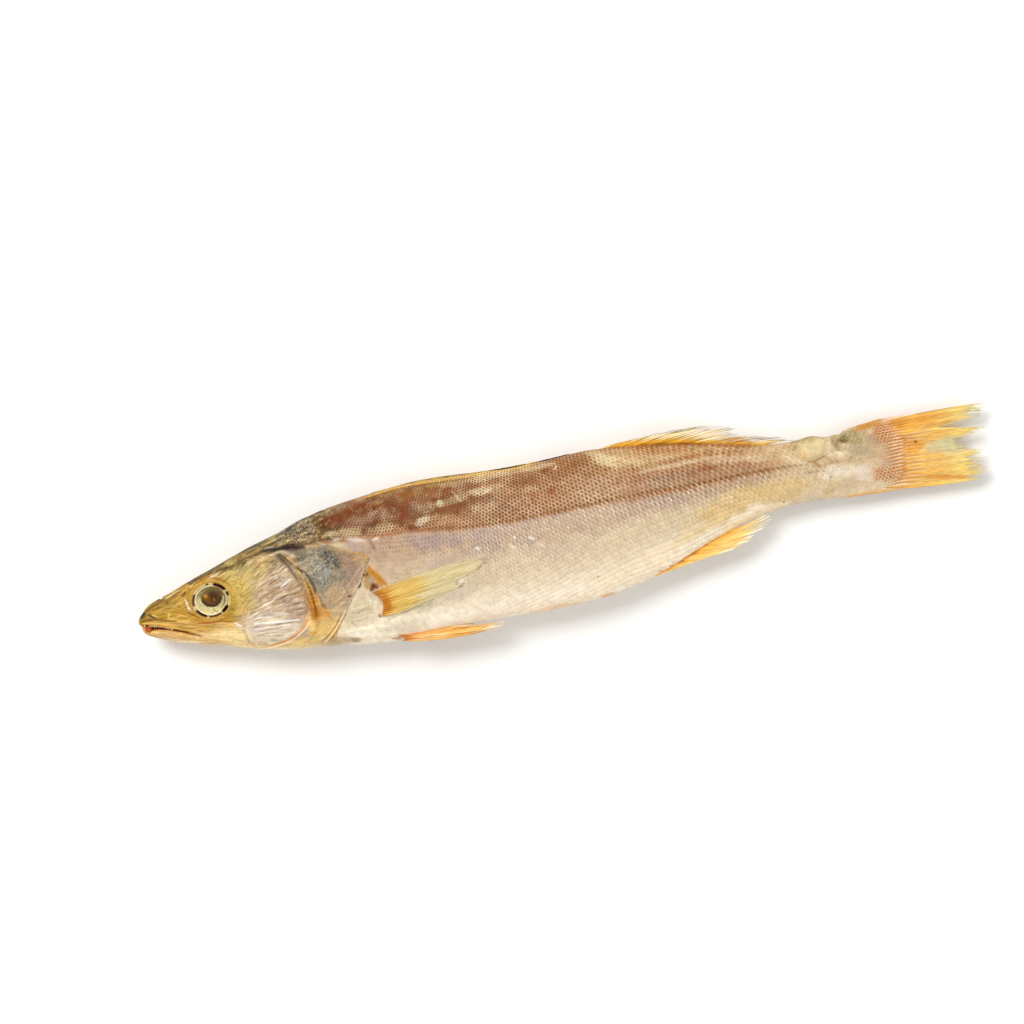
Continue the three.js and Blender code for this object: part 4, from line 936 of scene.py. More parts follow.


# layers over each other: face, cheek and gill cover, patches, the streaked band over the skull,
# wrinkles with painted highlights on their crests and painted shade in their troughs, and lines, then painted
# light along the lower edge, the ring round the eye, painted shade in its crescents and the gap of the mouth
def headTint(along, height):
    below = backLine(along) - height
    face = 1 - rise(along - 0.25 * np.maximum(height + 10, 0), 36, 45)
    tint = layOver(
        np.zeros(along.shape + (3,)) + linearColour("#cbb391"),
        ("#c4a04c", face),
        ("#e2d0b6", (1 - face) * rise(-height, 6, 15) * rise(coverFront(along, height), 0, 2)),
        ("#a0937e", rise(along, 72, 76) * (1 - rise(height, 11, 13)) * rise(height, -15, -11)))
    tint = paintPatches(tint, along, height, headPatches, 0.3, itertools.count(130))
    skull = 1 - rise(below + 0.8 * mottle(along, height, 5, 7), skullBand(along) - 1.2,
                     skullBand(along) + 1.2)
    skull = skull * rise(along, 16, 26)
    streaks = clouds(shareUp(along, height) * 60, along / 6, 1.0, 27)
    streaked = skull * rise(along, 24, 40)
    nape = skull * rise(along, 54, 66)
    wrinkles = cheekWrinkles(along, height)
    tint = layOver(
        tint,
        ("#8f763c", 0.85 * skull),
        ("#62461e", 0.85 * skull * rise(along, 50, 62)),
        ("#443418", 0.55 * streaked * rise(-streaks, 0.1, 0.7)),
        ("#c3b27c", 0.5 * streaked * rise(streaks, 0.2, 0.7)),
        ("#3d2810", 0.8 * nape * rise(mottle(along, height * 1.6, 1.35, 29), 0.05, 0.5)),
        ("#bea76e", 0.7 * nape * rise(-mottle(along, height * 1.6, 1.1, 30), 0.2, 0.45)),
        ("#453518", 0.85 * skull * (1 - rise(below, 0.3, 1.5))),
        # painted highlights on the crests of the cheek wrinkles and painted shade in their troughs
        ("#f1e6da", 0.46 * rise(wrinkles, 0.15, 1.0) * (1 - 0.5 * rise(height, 4, 10))),
        ("#80665a", 0.5 * rise(-wrinkles, 0.2, 1.0) * (1 - 0.4 * rise(-height, 10, 16))))
    tint = paintLines(tint, along, height, headLines)
    distance, angle = eyePolar(along, height)
    overBelly = 1 - rise(height - bellyLine(along), 0.2, 2.4)
    overEye = rise(np.sin(np.radians(angle)), -0.2, 0.9)
    socket = eye["socket"]
    tint = layOver(
        tint,
        # painted light along the lower edge of the jaw and throat, where the skin turns down away from the
        # lamps
        ("#fdedcc", 0.6 * overBelly * rise(along, 4, 12) * (1 - rise(along, 66, 76))),
        ("#c29a45", 0.6 * bell(distance, eye["rim"] - 0.4, 0.6)),
        ("#9b6c26", 0.7 * bell(distance, eye["rim"] + 0.9, 0.5) * overEye),
        ("#e0d1a0", 0.8 * (1 - rise(distance, socket - 0.2, socket + 0.35))))
    tint = paintCrescentShade(tint, crescentOpen(angle), 1 - rise(distance, socket - 0.1, socket + 0.12))
    low = lipShare(along, height)
    inside = rise(mouthInside(along, height), -0.08, 0.2)
    tint = layOver(
        tint,
        ("#5a1808", inside),
        ("#c67a34", inside * rise(low, 0.5, 0.9) * rise(along, 4, 6)),
        ("#c8742c", 0.9 * inside * (1 - rise(along, 3.8, 4.8))),
        ("#dfb080", 0.8 * inside * (1 - rise(along, 1.8, 2.6))))
    return tint * (1 + 0.08 * mottle(along, height, 1.3, 93))[..., None]


# head and body share one tint over the nape, and the gill cover keeps the head's
def skinTint(along, height, forHead):
    share = rise(along + 3 * mottle(along, height, 2.4, 19), 72, 84)
    if forHead:
        share = share * rise(height - gillTop(along), -0.4, 0.6)
    head, body = headTint(along, height), bodyTint(along, height)
    return head * (1 - share)[..., None] + body * share[..., None]


# the first nodes of every material: its tree, the tint painted on the piece and its place
def newMaterial(name):
    material = bpy.data.materials.new(name)
    material.use_nodes = True
    tree = material.node_tree
    tree.nodes.clear()
    tint = addNode(tree, "Attribute", attribute_name="tint")
    place = addNode(tree, "TexCoord", out="Object")
    return material, tree, tint, place


# bump, principled shader and, where the finish lets light through, a translucent share of it
def finishMaterial(material, tree, colour, roughness, height, finish):
    normal = addNode(tree, "Bump", {"Strength": finish["bump"], "Distance": finish["bumpDepth"] * mm,
                                    "Height": height})
    shader = addNode(tree, "BsdfPrincipled", {
        "Base Color": colour, "Roughness": roughness, "Normal": normal, "IOR": finish["ior"],
        "Specular IOR Level": finish["specular"]})
    if "through" in finish:
        passing = addNode(tree, "BsdfTranslucent", {"Color": colour, "Normal": normal})
        shader = addNode(tree, "MixShader", {0: finish["through"], 1: shader, 2: passing})
    addNode(tree, "OutputMaterial", {"Surface": shader})
    return material


skinFinish = {
    "pocket": "#6c3a1c", "net": "#dcc9a8", "rim": "#efe4cc",
    "roughness": 0.5, "specular": 0.12, "ior": 1.45, "bump": 0.4, "bumpDepth": 0.1,
    "grain": 0.35,      # mm, fine pores of the dried hide
    "wobble": 1.7,      # mm, over which the rows of scales waver
    "patch": 3.2,       # mm, over which the marks grow stronger and weaker
}


# dried, salted fish skin, air cured: satin, with rough scales that show as dark pockets in a
# pale net on the back and as pale rims on the flank, each scale a little lighter or darker
def driedSkin():
    material, tree, tint, place = newMaterial("dried scaled fish skin")
    cell = addNode(tree, "Attribute", out="Vector", attribute_name="scalePlace")
    marks = addNode(tree, "Attribute", out="Vector", attribute_name="marks")
    marks = addNode(tree, "SeparateXYZ", [marks]).node
    scale = 1 / (skinFinish["wobble"] * mm)
    wobble = addNode(tree, "TexNoise", {"Vector": place, "Scale": scale, "Detail": 3.0}, out="Color")
    wobble = addNode(tree, "VectorMath SUBTRACT", [wobble, (0.5, 0.5, 0.5)])
    wobble = addNode(tree, "VectorMath SCALE", {0: wobble, "Scale": 0.55})
    cell = addNode(tree, "VectorMath ADD", [cell, wobble])
    size = (1.0, skinShape["aspect"], 0.0)
    offsets, reaches = [], []
    for shift in (0.0, 0.5):
        part = addNode(tree, "VectorMath ADD", [cell, (shift, shift, 0.0)])
        part = addNode(tree, "VectorMath FRACTION", [part])
        part = addNode(tree, "VectorMath SUBTRACT", [part, (0.5, 0.5, 0.0)])
        offsets.append(addNode(tree, "VectorMath MULTIPLY", [part, size]))
        reaches.append(addNode(tree, "VectorMath LENGTH", [offsets[-1]], out="Value"))
    second = addNode(tree, "Math LESS_THAN", [reaches[1], reaches[0]])
    offset = addNode(tree, "Mix", {0: second, 4: offsets[0], 5: offsets[1]}, out=1, data_type="VECTOR")
    across = addNode(tree, "SeparateXYZ", [offset]).node
    nearest = addNode(tree, "Math MINIMUM", reaches)
    apart = addNode(tree, "Math SUBTRACT", reaches)
    apart = addNode(tree, "Math ABSOLUTE", [apart])
    beside = addNode(tree, "Math ABSOLUTE", [across.outputs[0]])
    beside = addNode(tree, "Math MULTIPLY_ADD", [beside, -1.6, 0.8])
    edge = addNode(tree, "Math MINIMUM", [apart, beside])
    pocket = addNode(tree, "MapRange", [nearest, 0.08, 0.4, 1.0, 0.0], interpolation_type="SMOOTHSTEP")
    net = addNode(tree, "MapRange", [edge, 0.0, 0.36, 1.0, 0.0], interpolation_type="SMOOTHSTEP")
    rear = addNode(tree, "MapRange", [across.outputs[0], 0.05, 0.4], interpolation_type="SMOOTHSTEP")
    tall = addNode(tree, "Math ABSOLUTE", [across.outputs[1]])
    tall = addNode(tree, "MapRange", [tall, 0.35, 0.8, 1.0, 0.15])
    rim = addNode(tree, "Math MULTIPLY", [rear, tall])
    # a number for each scale, from its lattice and cell, picks how light and how strong it is
    shifted = addNode(tree, "Math MULTIPLY", [second, 0.5])
    number = addNode(tree, "CombineXYZ", [shifted, shifted, shifted])
    number = addNode(tree, "VectorMath ADD", [cell, number])
    number = addNode(tree, "VectorMath FLOOR", [number])
    lattice = addNode(tree, "CombineXYZ", [shifted, 0.0, shifted])
    number = addNode(tree, "VectorMath ADD", [number, lattice])
    chance = addNode(tree, "TexWhiteNoise", [number], noise_dimensions="3D")
    scale = 1 / (skinFinish["patch"] * mm)
    patchy = addNode(tree, "TexNoise", {"Vector": place, "Scale": scale, "Detail": 2.0})
    patchy = addNode(tree, "MapRange", [patchy, 0.35, 0.65, 0.7, 1.2])
    strong = addNode(tree, "MapRange", [chance, 0.0, 1.0, 0.7, 1.1])
    strong = addNode(tree, "Math MULTIPLY", [strong, patchy])
    colour = tint
    for mask, mark, shade in ((pocket, 0, "pocket"), (net, 1, "net"), (rim, 2, "rim")):
        amount = addNode(tree, "Math MULTIPLY", [mask, marks.outputs[mark]])
        amount = addNode(tree, "Math MULTIPLY", [amount, strong], use_clamp=True)
        shade = (*deepen(linearColour(skinFinish[shade])), 1.0)
        colour = addNode(tree, "Mix", {0: amount, 6: colour, 7: shade}, out=2, data_type="RGBA")
    scale = 1 / (skinFinish["grain"] * mm)
    grain = addNode(tree, "TexNoise", {"Vector": place, "Scale": scale, "Detail": 3.0})
    tone = addNode(tree, "MapRange", [grain, 0.3, 0.7, 0.82, 1.1])
    light = addNode(tree, "MapRange", [chance, 0.0, 1.0, 0.9, 1.08])
    tone = addNode(tree, "Math MULTIPLY", [tone, light])
    colour = addNode(tree, "VectorMath SCALE", {0: colour, "Scale": tone})
    satin = skinFinish["roughness"]
    rough = addNode(tree, "MapRange", [net, 0.0, 1.0, satin, satin + 0.12])
    high = addNode(tree, "Math SUBTRACT", [rear, net])
    height = addNode(tree, "Math ADD", [grain, high])
    return finishMaterial(material, tree, colour, rough, height, skinFinish)


headFinish = {
    "roughness": 0.42, "specular": 0.16, "ior": 1.47, "bump": 0.4, "bumpDepth": 0.14,
    "pale": "#cfc6b0",
    "worm": 1.2, "grain": 0.9,      # mm
}


# dried bare skin over the skull and gill covers: parchment-like, waxy on the ridges, with fine
# streaks that follow the flow of the skin and worm-like markings on the gill cover
def driedHeadSkin():
    material, tree, tint, place = newMaterial("dried bare head skin")
    marks = addNode(tree, "Attribute", out="Vector", attribute_name="marks")
    marks = addNode(tree, "SeparateXYZ", [marks]).node
    flow = addNode(tree, "Attribute", out="Vector", attribute_name="flow")
    scale = 1 / (headFinish["worm"] * mm)
    worms = addNode(tree, "TexNoise", {"Vector": place, "Scale": scale, "Detail": 2.0, "Distortion": 0.8})
    worms = addNode(tree, "Math SUBTRACT", [worms, 0.5])
    worms = addNode(tree, "Math ABSOLUTE", [worms])
    worms = addNode(tree, "MapRange", [worms, 0.0, 0.07, 1.0, 0.0])
    worms = addNode(tree, "Math MULTIPLY", [worms, marks.outputs[0]], use_clamp=True)
    pale = (*deepen(linearColour(headFinish["pale"])), 1.0)
    colour = addNode(tree, "Mix", {0: worms, 6: tint, 7: pale}, out=2, data_type="RGBA")
    streak = addNode(tree, "TexNoise", {"Vector": flow, "Scale": 1.0, "Detail": 4.0, "Roughness": 0.65})
    streak = addNode(tree, "Math SUBTRACT", [streak, 0.5])
    streak = addNode(tree, "Math MULTIPLY", [streak, marks.outputs[1]])
    tone = addNode(tree, "MapRange", [streak, -0.16, 0.16, 0.25, 1.6])
    scale = 1 / (headFinish["grain"] * mm)
    grain = addNode(tree, "TexNoise", {"Vector": place, "Scale": scale, "Detail": 4.0, "Roughness": 0.6})
    pebble = addNode(tree, "Math SUBTRACT", [grain, 0.5])
    pebble = addNode(tree, "Math MULTIPLY", [pebble, marks.outputs[2]])
    pebble = addNode(tree, "MapRange", [pebble, -0.18, 0.18, 0.66, 1.22])
    tone = addNode(tree, "Math MULTIPLY", [tone, pebble])
    colour = addNode(tree, "VectorMath SCALE", {0: colour, "Scale": tone})
    satin = headFinish["roughness"]
    rough = addNode(tree, "MapRange", [grain, 0.3, 0.7, satin - 0.08, satin + 0.1])
    height = addNode(tree, "Math MULTIPLY_ADD", [streak, 3.0, grain])
    return finishMaterial(material, tree, colour, rough, height, headFinish)


finFinish = {"specular": 0.2, "ior": 1.5, "bump": 0.3, "bumpDepth": 0.08, "through": 0.15}


# fin rays and membrane, dried stiff like thin horn: golden, some light comes through
def driedFin():
    material, tree, tint = newMaterial("dried fin membrane and rays")[:3]
    rays = addNode(tree, "Attribute", out="Vector", attribute_name="finPlace")
    streak = addNode(tree, "TexNoise", {"Vector": rays, "Scale": 1.0, "Detail": 3.0, "Roughness": 0.6})
    tone = addNode(tree, "MapRange", [streak, 0.3, 0.7, 0.78, 1.16])
    colour = addNode(tree, "VectorMath SCALE", {0: tint, "Scale": tone})
    rough = addNode(tree, "MapRange", [streak, 0.3, 0.7, 0.34, 0.5])
    return finishMaterial(material, tree, colour, rough, streak, finFinish)


eyeFinish = {"specular": 0.1, "ior": 1.4, "bump": 0.25, "bumpDepth": 0.12, "grain": 0.8}


# clouded dried eye: cornea shrunk on to the lens, dull like old horn
def driedEye():
    material, tree, tint, place = newMaterial("dried cloudy eye")
    scale = 1 / (eyeFinish["grain"] * mm)
    fibres = addNode(tree, "TexNoise", {"Vector": place, "Scale": scale, "Detail": 4.0})
    tone = addNode(tree, "MapRange", [fibres, 0.3, 0.7, 0.78, 1.18])
    colour = addNode(tree, "VectorMath SCALE", {0: tint, "Scale": tone})
    rough = addNode(tree, "MapRange", [fibres, 0.3, 0.7, 0.34, 0.5])
    return finishMaterial(material, tree, colour, rough, fibres, eyeFinish)


toothFinish = {"roughness": 0.3, "specular": 0.5, "ior": 1.6, "bump": 0.1, "bumpDepth": 0.05, "grain": 0.5}


# small conical teeth, enamel yellowed by drying
def toothEnamel():
    material, tree, tint, place = newMaterial("dried tooth enamel")
    scale = 1 / (toothFinish["grain"] * mm)
    stain = addNode(tree, "TexNoise", {"Vector": place, "Scale": scale, "Detail": 2.0})
    tone = addNode(tree, "MapRange", [stain, 0.3, 0.7, 0.85, 1.1])
    colour = addNode(tree, "VectorMath SCALE", {0: tint, "Scale": tone})
    return finishMaterial(material, tree, colour, toothFinish["roughness"], stain, toothFinish)


bodySkin = driedSkin()
headSkin = driedHeadSkin()
finSkin = driedFin()
eyeSkin = driedEye()
enamel = toothEnamel()
print("materials made")

headMesh = {
    "rows": 284, "round": 332,
    "crowding": 1.28,            # power that crowds the rings at the snout
    "rimRun": 14,                # rings that the cover's rim reaches forward underneath
    "backMiddle": (74, -4),      # point that closes the back of the head
    "mapLength": 98,             # mm along the fish that the UV map takes
}


# places for the streaks of the head: across them and slowly along them. They run from the snout
# tip to the nape in proportion to the section's height, and fan out over the cheek
def headFlow(along, height):
    onCheek = rise(along, 41, 46) * rise(coverFront(along, height), -0.5, 1.0)
    across = shareUp(along, height) * 34 * (1 - onCheek) + fanAngle(along, height) * 0.8 * onCheek
    return np.stack([across, along / 7, 0 * along + 3 * onCheek], -1)


# strength of the gill cover's worm marks, of the streaks and of the pebbly grain, each a sum of
# soft regions
def headMarks(along, height):
    below = backLine(along) - height
    nape = rise(along, 58, 66) * rise(height - gillTop(along), 0.5, 2)
    worms = 0.55 * nape + 0.85 * bell(np.hypot((along - 75) / 9, (height - 5) / 7), 0, 1)
    worms = worms + 0.3 * bell(np.hypot((along - 79) / 8, (height + 4) / 7), 0, 1)
    skull = 1 - rise(below, skullBand(along) - 1, skullBand(along) + 2)
    distance = eyePolar(along, height)[0]
    cover = rise(along, 72, 76) * (1 - rise(height, 10, 13)) * rise(height, -14, -10)
    onCheek = rise(along, 44, 50) * rise(coverFront(along, height), 0, 1.5)
    streaks = 0.5 + 0.4 * skull + 0.2 * onCheek - 0.25 * rise(-height, 8, 14)
    streaks = streaks * rise(distance, 7.6, 10) * (1 - 0.75 * cover)
    pebbles = 0.4 + 0.6 * np.maximum(skull, cover) + 0.5 * nape
    return np.stack([worms, streaks, pebbles], -1)


# rings from the snout to the gill cover's edge, then round that edge and back under it; each
# ring ends where the edge runs at its share of the height
def makeHead():
    edge = gill["rear"][1:] + gill["upper"]
    a, h = np.array(edge, float).T
    ends = smoothCurve([(-1.0, 70.5), *zip(sectionShare(a, h), a), (0.66, gill["napeEnd"]),
                        (1.0, gill["napeEnd"])])
    turn = ringAngles(headMesh["round"])
    step = np.linspace(0, 1, headMesh["rows"])[:, None] ** headMesh["crowding"]
    along = ends(np.cos(turn)) * step
    turn = np.broadcast_to(turn, along.shape)
    base = bodySurface(along, turn)
    normal = ringNormals(base)
    height = base[..., 1]
    lift = gill["lift"] * rise(coverInside(along, height), -1, 6) * rise(along, 60, 76)
    relief = headRelief(along, height) + lift - napeSink(along, height, True)
    outer = base + normal * relief[..., None]
    rim = [outer[-1] - normal[-1] * gill["thickness"] * k for k in (0.22, 1.0)]
    rim[0][:, 0] += 0.12       # rounds the edge
    inner = -headMesh["rimRun"]
    under = outer[inner] - normal[inner] * gill["thickness"] * 1.15
    grid = np.concatenate([outer, np.stack(rim + [under])])
    grid[..., 2] = np.maximum(grid[..., 2], fish["clearance"])
    rows, columns = grid.shape[:2]
    quads = gridFaces(rows, columns, True)
    ring = np.arange(columns)
    following = (ring + 1) % columns
    back = (rows - 1) * columns
    backMiddle = headMesh["backMiddle"]
    middles = np.array([grid[0].mean(0), [*backMiddle, middlePlane(backMiddle[0])]])
    faces = [quads, np.stack([following, ring, np.full(columns, rows * columns)], -1),
             np.stack([back + ring, back + following, np.full(columns, rows * columns + 1)], -1)]
    points = np.concatenate([grid.reshape(-1, 3), middles])
    a, h = points[:, 0], points[:, 1]
    column = (quads % columns).astype(float)
    column[:, 2:] = np.where(column[:, 2:] == 0, columns, column[:, 2:])
    uvs = [0.01 + 0.98 * np.stack([points[quads, 0] / headMesh["mapLength"], column / columns], -1)]
    corner = 0.004 + np.array([[0, 0], [0.003, 0], [0, 0.003]])
    uvs += [np.broadcast_to(corner, block.shape + (2,)) for block in faces[1:]]
    tint = skinTint(a, h, True)
    # the cover's last ring and its rim wall are tinted pale: the thin membrane's own colour and painted light
    # over the shade that falls on the wall
    edgeRows = slice((rows - 4) * columns, (rows - 1) * columns)
    pale = 0.75 * (1 - rise(h[edgeRows] - gillTop(a[edgeRows]), -1.5, -0.5)) * rise(a[edgeRows], 70, 74)
    tint[edgeRows] = blend(tint[edgeRows], "#dcc8ac", pale)
    values = {"tint": tint, "marks": headMarks(a, h), "flow": headFlow(a, h)}
    return addPiece("head", points, faces, headSkin, values, uvs)


makeHead()

trunkMesh = {"from": 60.0, "rows": 540, "round": 332}


# the ring grid of the whole body, cut along back and belly into two half shells, each closed by
# a strip in the middle plane; scale places run along the fish and round it from the side line
def makeTrunk():
    columns = trunkMesh["round"]
    half = columns // 2
    turn = ringAngles(columns)
    axis = np.linspace(trunkMesh["from"], fish["fleshEnd"], trunkMesh["rows"])
    along = axis[:, None] + 0 * turn
    turn = np.broadcast_to(turn, along.shape)
    base = bodySurface(along, turn)
    normal = ringNormals(base)
    height = base[..., 1]
    steps = np.linalg.norm(np.diff(base[:, :half + 1], axis=1), axis=-1)
    arc = np.concatenate([np.zeros((len(base), 1)), np.cumsum(steps, axis=1)], axis=1)
    lineShare = sectionShare(axis, lateralLine(axis))
    lineColumn = np.arccos(np.clip(lineShare, -1, 1)) / math.pi * half
    rows, low = np.arange(len(base)), lineColumn.astype(int)
    lineArc = arc[rows, low] + (lineColumn - low) * (arc[rows, low + 1] - arc[rows, low])
    around = lineArc[:, None] - arc
    around = np.concatenate([around, around[:, 1:-1][:, ::-1]], axis=1)
    counts, climbs = (np.concatenate([[0], np.cumsum(rate(axis[1:]) * np.diff(axis))])[:, None]
                      for rate in (scalesAlong, rowsClimb))
    rowsRound = np.where(around > 0, rowsAbove(along), rowsBelow(along))
    place = np.stack([counts + scalesLean(axis)[:, None] * around, climbs + rowsRound * around], -1)
    tint = skinTint(along, height, False)
    marks = bodyMarks(along, height, tint)
    relief = bodyRelief(along, height, place, np.clip(marks.sum(-1), 0, 1)) - napeSink(along, height, False)
    grid = base + normal * relief[..., None]
    grid[..., 2] = np.maximum(grid[..., 2], fish["clearance"])
    sides = {"flank_left": np.arange(half + 1), "flank_right": np.r_[0, np.arange(columns - 1, half - 1, -1)]}
    for name, order in sides.items():
        points, count, rowCount = grid[:, order].copy(), half + 1, len(grid)
        points[:, [0, -1], 2] = middlePlane(along[:, [0, -1]])
        cells = gridFaces(rowCount, count)
        start = np.arange(rowCount - 1) * count
        strip = np.stack([start + count - 1, start + 2 * count - 1, start + count, start], -1)
        ends = [np.arange(count)[None, ::-1], (rowCount - 1) * count + np.arange(count)[None, :]]
        middle = rowCount // 2
        row, column = cells // count, cells % count
        hind = (cells[:, :1] // count) >= middle
        uvs = [0.01 + 0.975 * np.stack([(row - hind * middle) / middle, (column / half + hind) / 2], -1)]
        corner = np.array([[0, 0], [0.003, 0], [0.003, 0.003], [0, 0.003]]) + 0.002
        uvs.append(np.broadcast_to(corner, (len(strip), 4, 2)))
        spin = np.linspace(0, 2 * math.pi, count, endpoint=False)
        uvs += [0.004 + 0.002 * np.stack([np.cos(spin), np.sin(spin)], -1)[None]] * 2
        values = {"tint": tint[:, order], "marks": marks[:, order],
                  "scalePlace": np.concatenate([place[:, order], 0 * place[:, order, :1]], -1)}
        addPiece(name, points, [cells, strip, *ends], bodySkin, values, uvs)


makeTrunk()


# a polar grid in the flank's plane at the eye: a low dome with a raised ring, a sunk wall behind
# its edge and a point that closes it at the back
def makeEye(name, side):
    reach, ball, ringRadius = eye["slopeRun"], eye["ball"], eye["ring"]

    def level(a, h):
        return flankLevel(eye["along"] + a, eye["height"] + h, side)

    centre = np.array([eye["along"], eye["height"], level(0, 0)])
    run = np.array([2 * reach, 0, level(reach, 0) - level(-reach, 0)])
    climb = np.array([0, 2 * reach, level(0, reach) - level(0, -reach)])
    run, climb = run / np.linalg.norm(run), climb / np.linalg.norm(climb)
    out = np.cross(run, climb) * side
    out /= np.linalg.norm(out)
    rings, columns = eye["rings"], eye["columns"]
    share = np.linspace(0, 1, rings)[1:, None]
    angle = ringAngles(columns)
    radius = ball * share + 0 * angle
    a, b = radius * np.cos(angle), radius * np.sin(angle) / eye["squash"]
    radius = radius * ringRadius / ball
    lift = 0.15 + 0.8 * (1 - rise(radius, 2.4, 6.4)) - 0.35 * (1 - rise(radius, 0.5, 3.6))
    lift += 0.28 * bell(radius, 6.2, 0.4) - 0.2 * bell(radius, 5.5,
                                                       0.25) - 0.15 * (1 - rise(radius, 3.2, 4.2))
    lift += 0.14 * mottle(a + 40, b + 40, 1.6, 207) - 0.8 * rise(radius, 6.45, 6.8)
    front = centre + a[..., None] * run + b[..., None] * climb + (lift[..., None] - 0.25) * out
    wall = front[-1] - out * eye["rimDepth"]
    points = np.concatenate([[centre + out * 0.4], front.reshape(-1, 3), wall,
                             [centre - out * eye["backDepth"]]])
    column = np.arange(columns)
    following = (column + 1) % columns
    last = 1 + (rings - 1) * columns
    tip = np.full(columns, len(points) - 1)
    faces = [1 + gridFaces(rings, columns, True), np.stack([0 * column, 1 + column, 1 + following], -1),
             np.stack([last + following, last + column, tip], -1)]
    distance, degrees = eyePolar(points[:, 0], points[:, 1])
    distance = distance * ringRadius / ball
    a, b = points[:, 0] - eye["along"], points[:, 1] - eye["height"]
    fibres = clouds(degrees * 0.12, distance, 0.6, 211)

    def towards(turn, spread):
        return rise(np.cos(np.radians(degrees - turn)), math.cos(math.radians(spread)), 1)

    off = np.hypot((a - 0.75) / eye["pupil"][0], (b - 1.0) / eye["pupil"][1])
    off = off + 0.06 * clouds(a + 9, b + 9, 1.3, 213)
    pupil = 1 - rise(off, 0.86 - 0.1 * rise(b, 0, 3), 1.06 + 0.22 * rise(b, 0, 3))
    swirl = clouds(a * 1.4 + 30, b * 1.4 + 30, 0.8, 219)
    tint = layOver(
        np.zeros((len(points), 3)) + linearColour("#c9bd90"),
        # iris
        ("#dccf9a", 0.9 * rise(-b, 1.0, 4.4) * (1 - rise(distance, 6.0, 6.4))),
        ("#9a8f68", 0.85 * rise(b, 0.6, 3.4) * (1 - rise(distance, 5.4, 6.1))),
        ("#aa9c78", 0.7 * towards(5, 60) * rise(distance, 5.2, 5.7)),
        ("#8a7f5c", 0.5 * rise(fibres, 0.0, 0.8)),
        # a painted highlight round the iris's edge, strongest towards the lower left
        ("#efe6cc", 0.9 * bell(distance, 6.35, 0.28) * (0.5 + 0.5 * towards(230, 130))),
        ("#5f4d2a", 0.8 * bell(distance, 5.35, 0.3) * towards(-8, 55)),
        ("#7b6a44", 0.7 * bell(distance, 5.6, 0.2) * towards(120, 70)),
        # pupil
        ("#6b4c16", pupil),
        ("#7d7040", 0.7 * pupil * rise(b, 2.0, 3.4)),
        ("#231606", 0.85 * pupil * bell(off, 0.86, 0.2) * rise(-b - 0.2 * a, -2.6, 0.4)),
        ("#2b1a08", 0.7 * bell(np.hypot(a - 1.0, (b - 2.4) * 1.3), 0, 2.1) * pupil),
        # clouded lens and its glints
        ("#5e3212", 0.8 * bell(np.hypot(a - 1.5, b - 0.6), 0, 2.4) * rise(swirl, -0.2, 0.4)),
        ("#1c1007", 0.8 * bell(np.hypot(a - 1.4, b - 0.6), 0, 2.4) * rise(-swirl, 0.0, 0.5)),
        ("#9c8a5c", 0.75 * bell(np.hypot(a - 2.8, b - 0.2), 0, 1.8) * rise(swirl, 0.1, 0.6)),
        ("#94681c", 0.95 * bell(np.hypot(a + 1.6, b - 1.6), 0, 1.3)),
        ("#d2a04c", 0.85 * bell(np.hypot(a + 1.7, b - 2.1), 0, 0.55)))
    # painted shade of the open crescents along the ball's edge
    opening = crescentOpen(degrees)
    edge = ringRadius - 0.75 * opening
    tint = paintCrescentShade(tint, opening, rise(distance, edge, edge + 0.2))
    return addPiece(name, points, faces, eyeSkin, {"tint": tint})


makeEye("eye_left", leftSide)
makeEye("eye_right", rightSide)
print("eyes made")


teeth = {
    "upper": 14, "upperRun": (4.4, 13.2), "upperLength": (0.7, 0.95),
    "lower": 8, "lowerRun": (4.8, 11.6), "lowerLength": (0.35, 0.5),
    "fangsAlong": [2.3, 3.1], "fangsFacing": [1, -1], "fangsLength": [1.0, 0.9],
    "width": 0.27, "corners": 7, "jitter": 0.12,
    "colour": "#ecd096",
}


# cones on both lips, each a ring of corners drawn in to a neck and a bent tip
def makeTeeth():
    pick = np.random.default_rng(301)
    upper, lower, count = teeth["upper"], teeth["lower"], teeth["corners"]
    along = np.concatenate([np.linspace(*teeth["upperRun"], upper), np.linspace(*teeth["lowerRun"], lower),
                            teeth["fangsAlong"]])
    facing = np.concatenate([np.ones(upper), -np.ones(lower), teeth["fangsFacing"]])
    length = np.concatenate([pick.uniform(*teeth["upperLength"], upper),
                             pick.uniform(*teeth["lowerLength"], lower), teeth["fangsLength"]])
    along = along + pick.uniform(-teeth["jitter"], teeth["jitter"], len(along))
    height = np.where(facing > 0, upperLip(along) + 0.1, lowerLip(along) - 0.1)
    corners = np.arange(count)
    spin = ringAngles(count)
    following = (corners + 1) % count
    circle = teeth["width"] * np.stack([np.cos(spin), 0 * spin, np.sin(spin)], -1)
    points, faces = [], []
    for side in (leftSide, rightSide):
        level = flankLevel(along, height, side) - side * 0.2
        for a, h, z, up, size in zip(along, height, level, facing, length):
            ring = circle + [a, h, z]
            neck = (ring - [a, h, z]) * 0.7 + [a, h - up * size * 0.45, z]
            first = (2 * count + 1) * len(points)
            points.append(np.concatenate([ring, neck, [[a + 0.05, h - up * size, z - side * 0.1]]]))
            faces += [first + np.stack([corners, following, following + count, corners + count], -1),
                      first + np.stack([corners + count, following + count, np.full(count, 2 * count)], -1),
                      first + corners[None, ::-1]]
    points = np.concatenate(points)
    tint = np.zeros((len(points), 3)) + linearColour(teeth["colour"])
    return addPiece("teeth", points, faces, enamel, {"tint": tint})


makeTeeth()


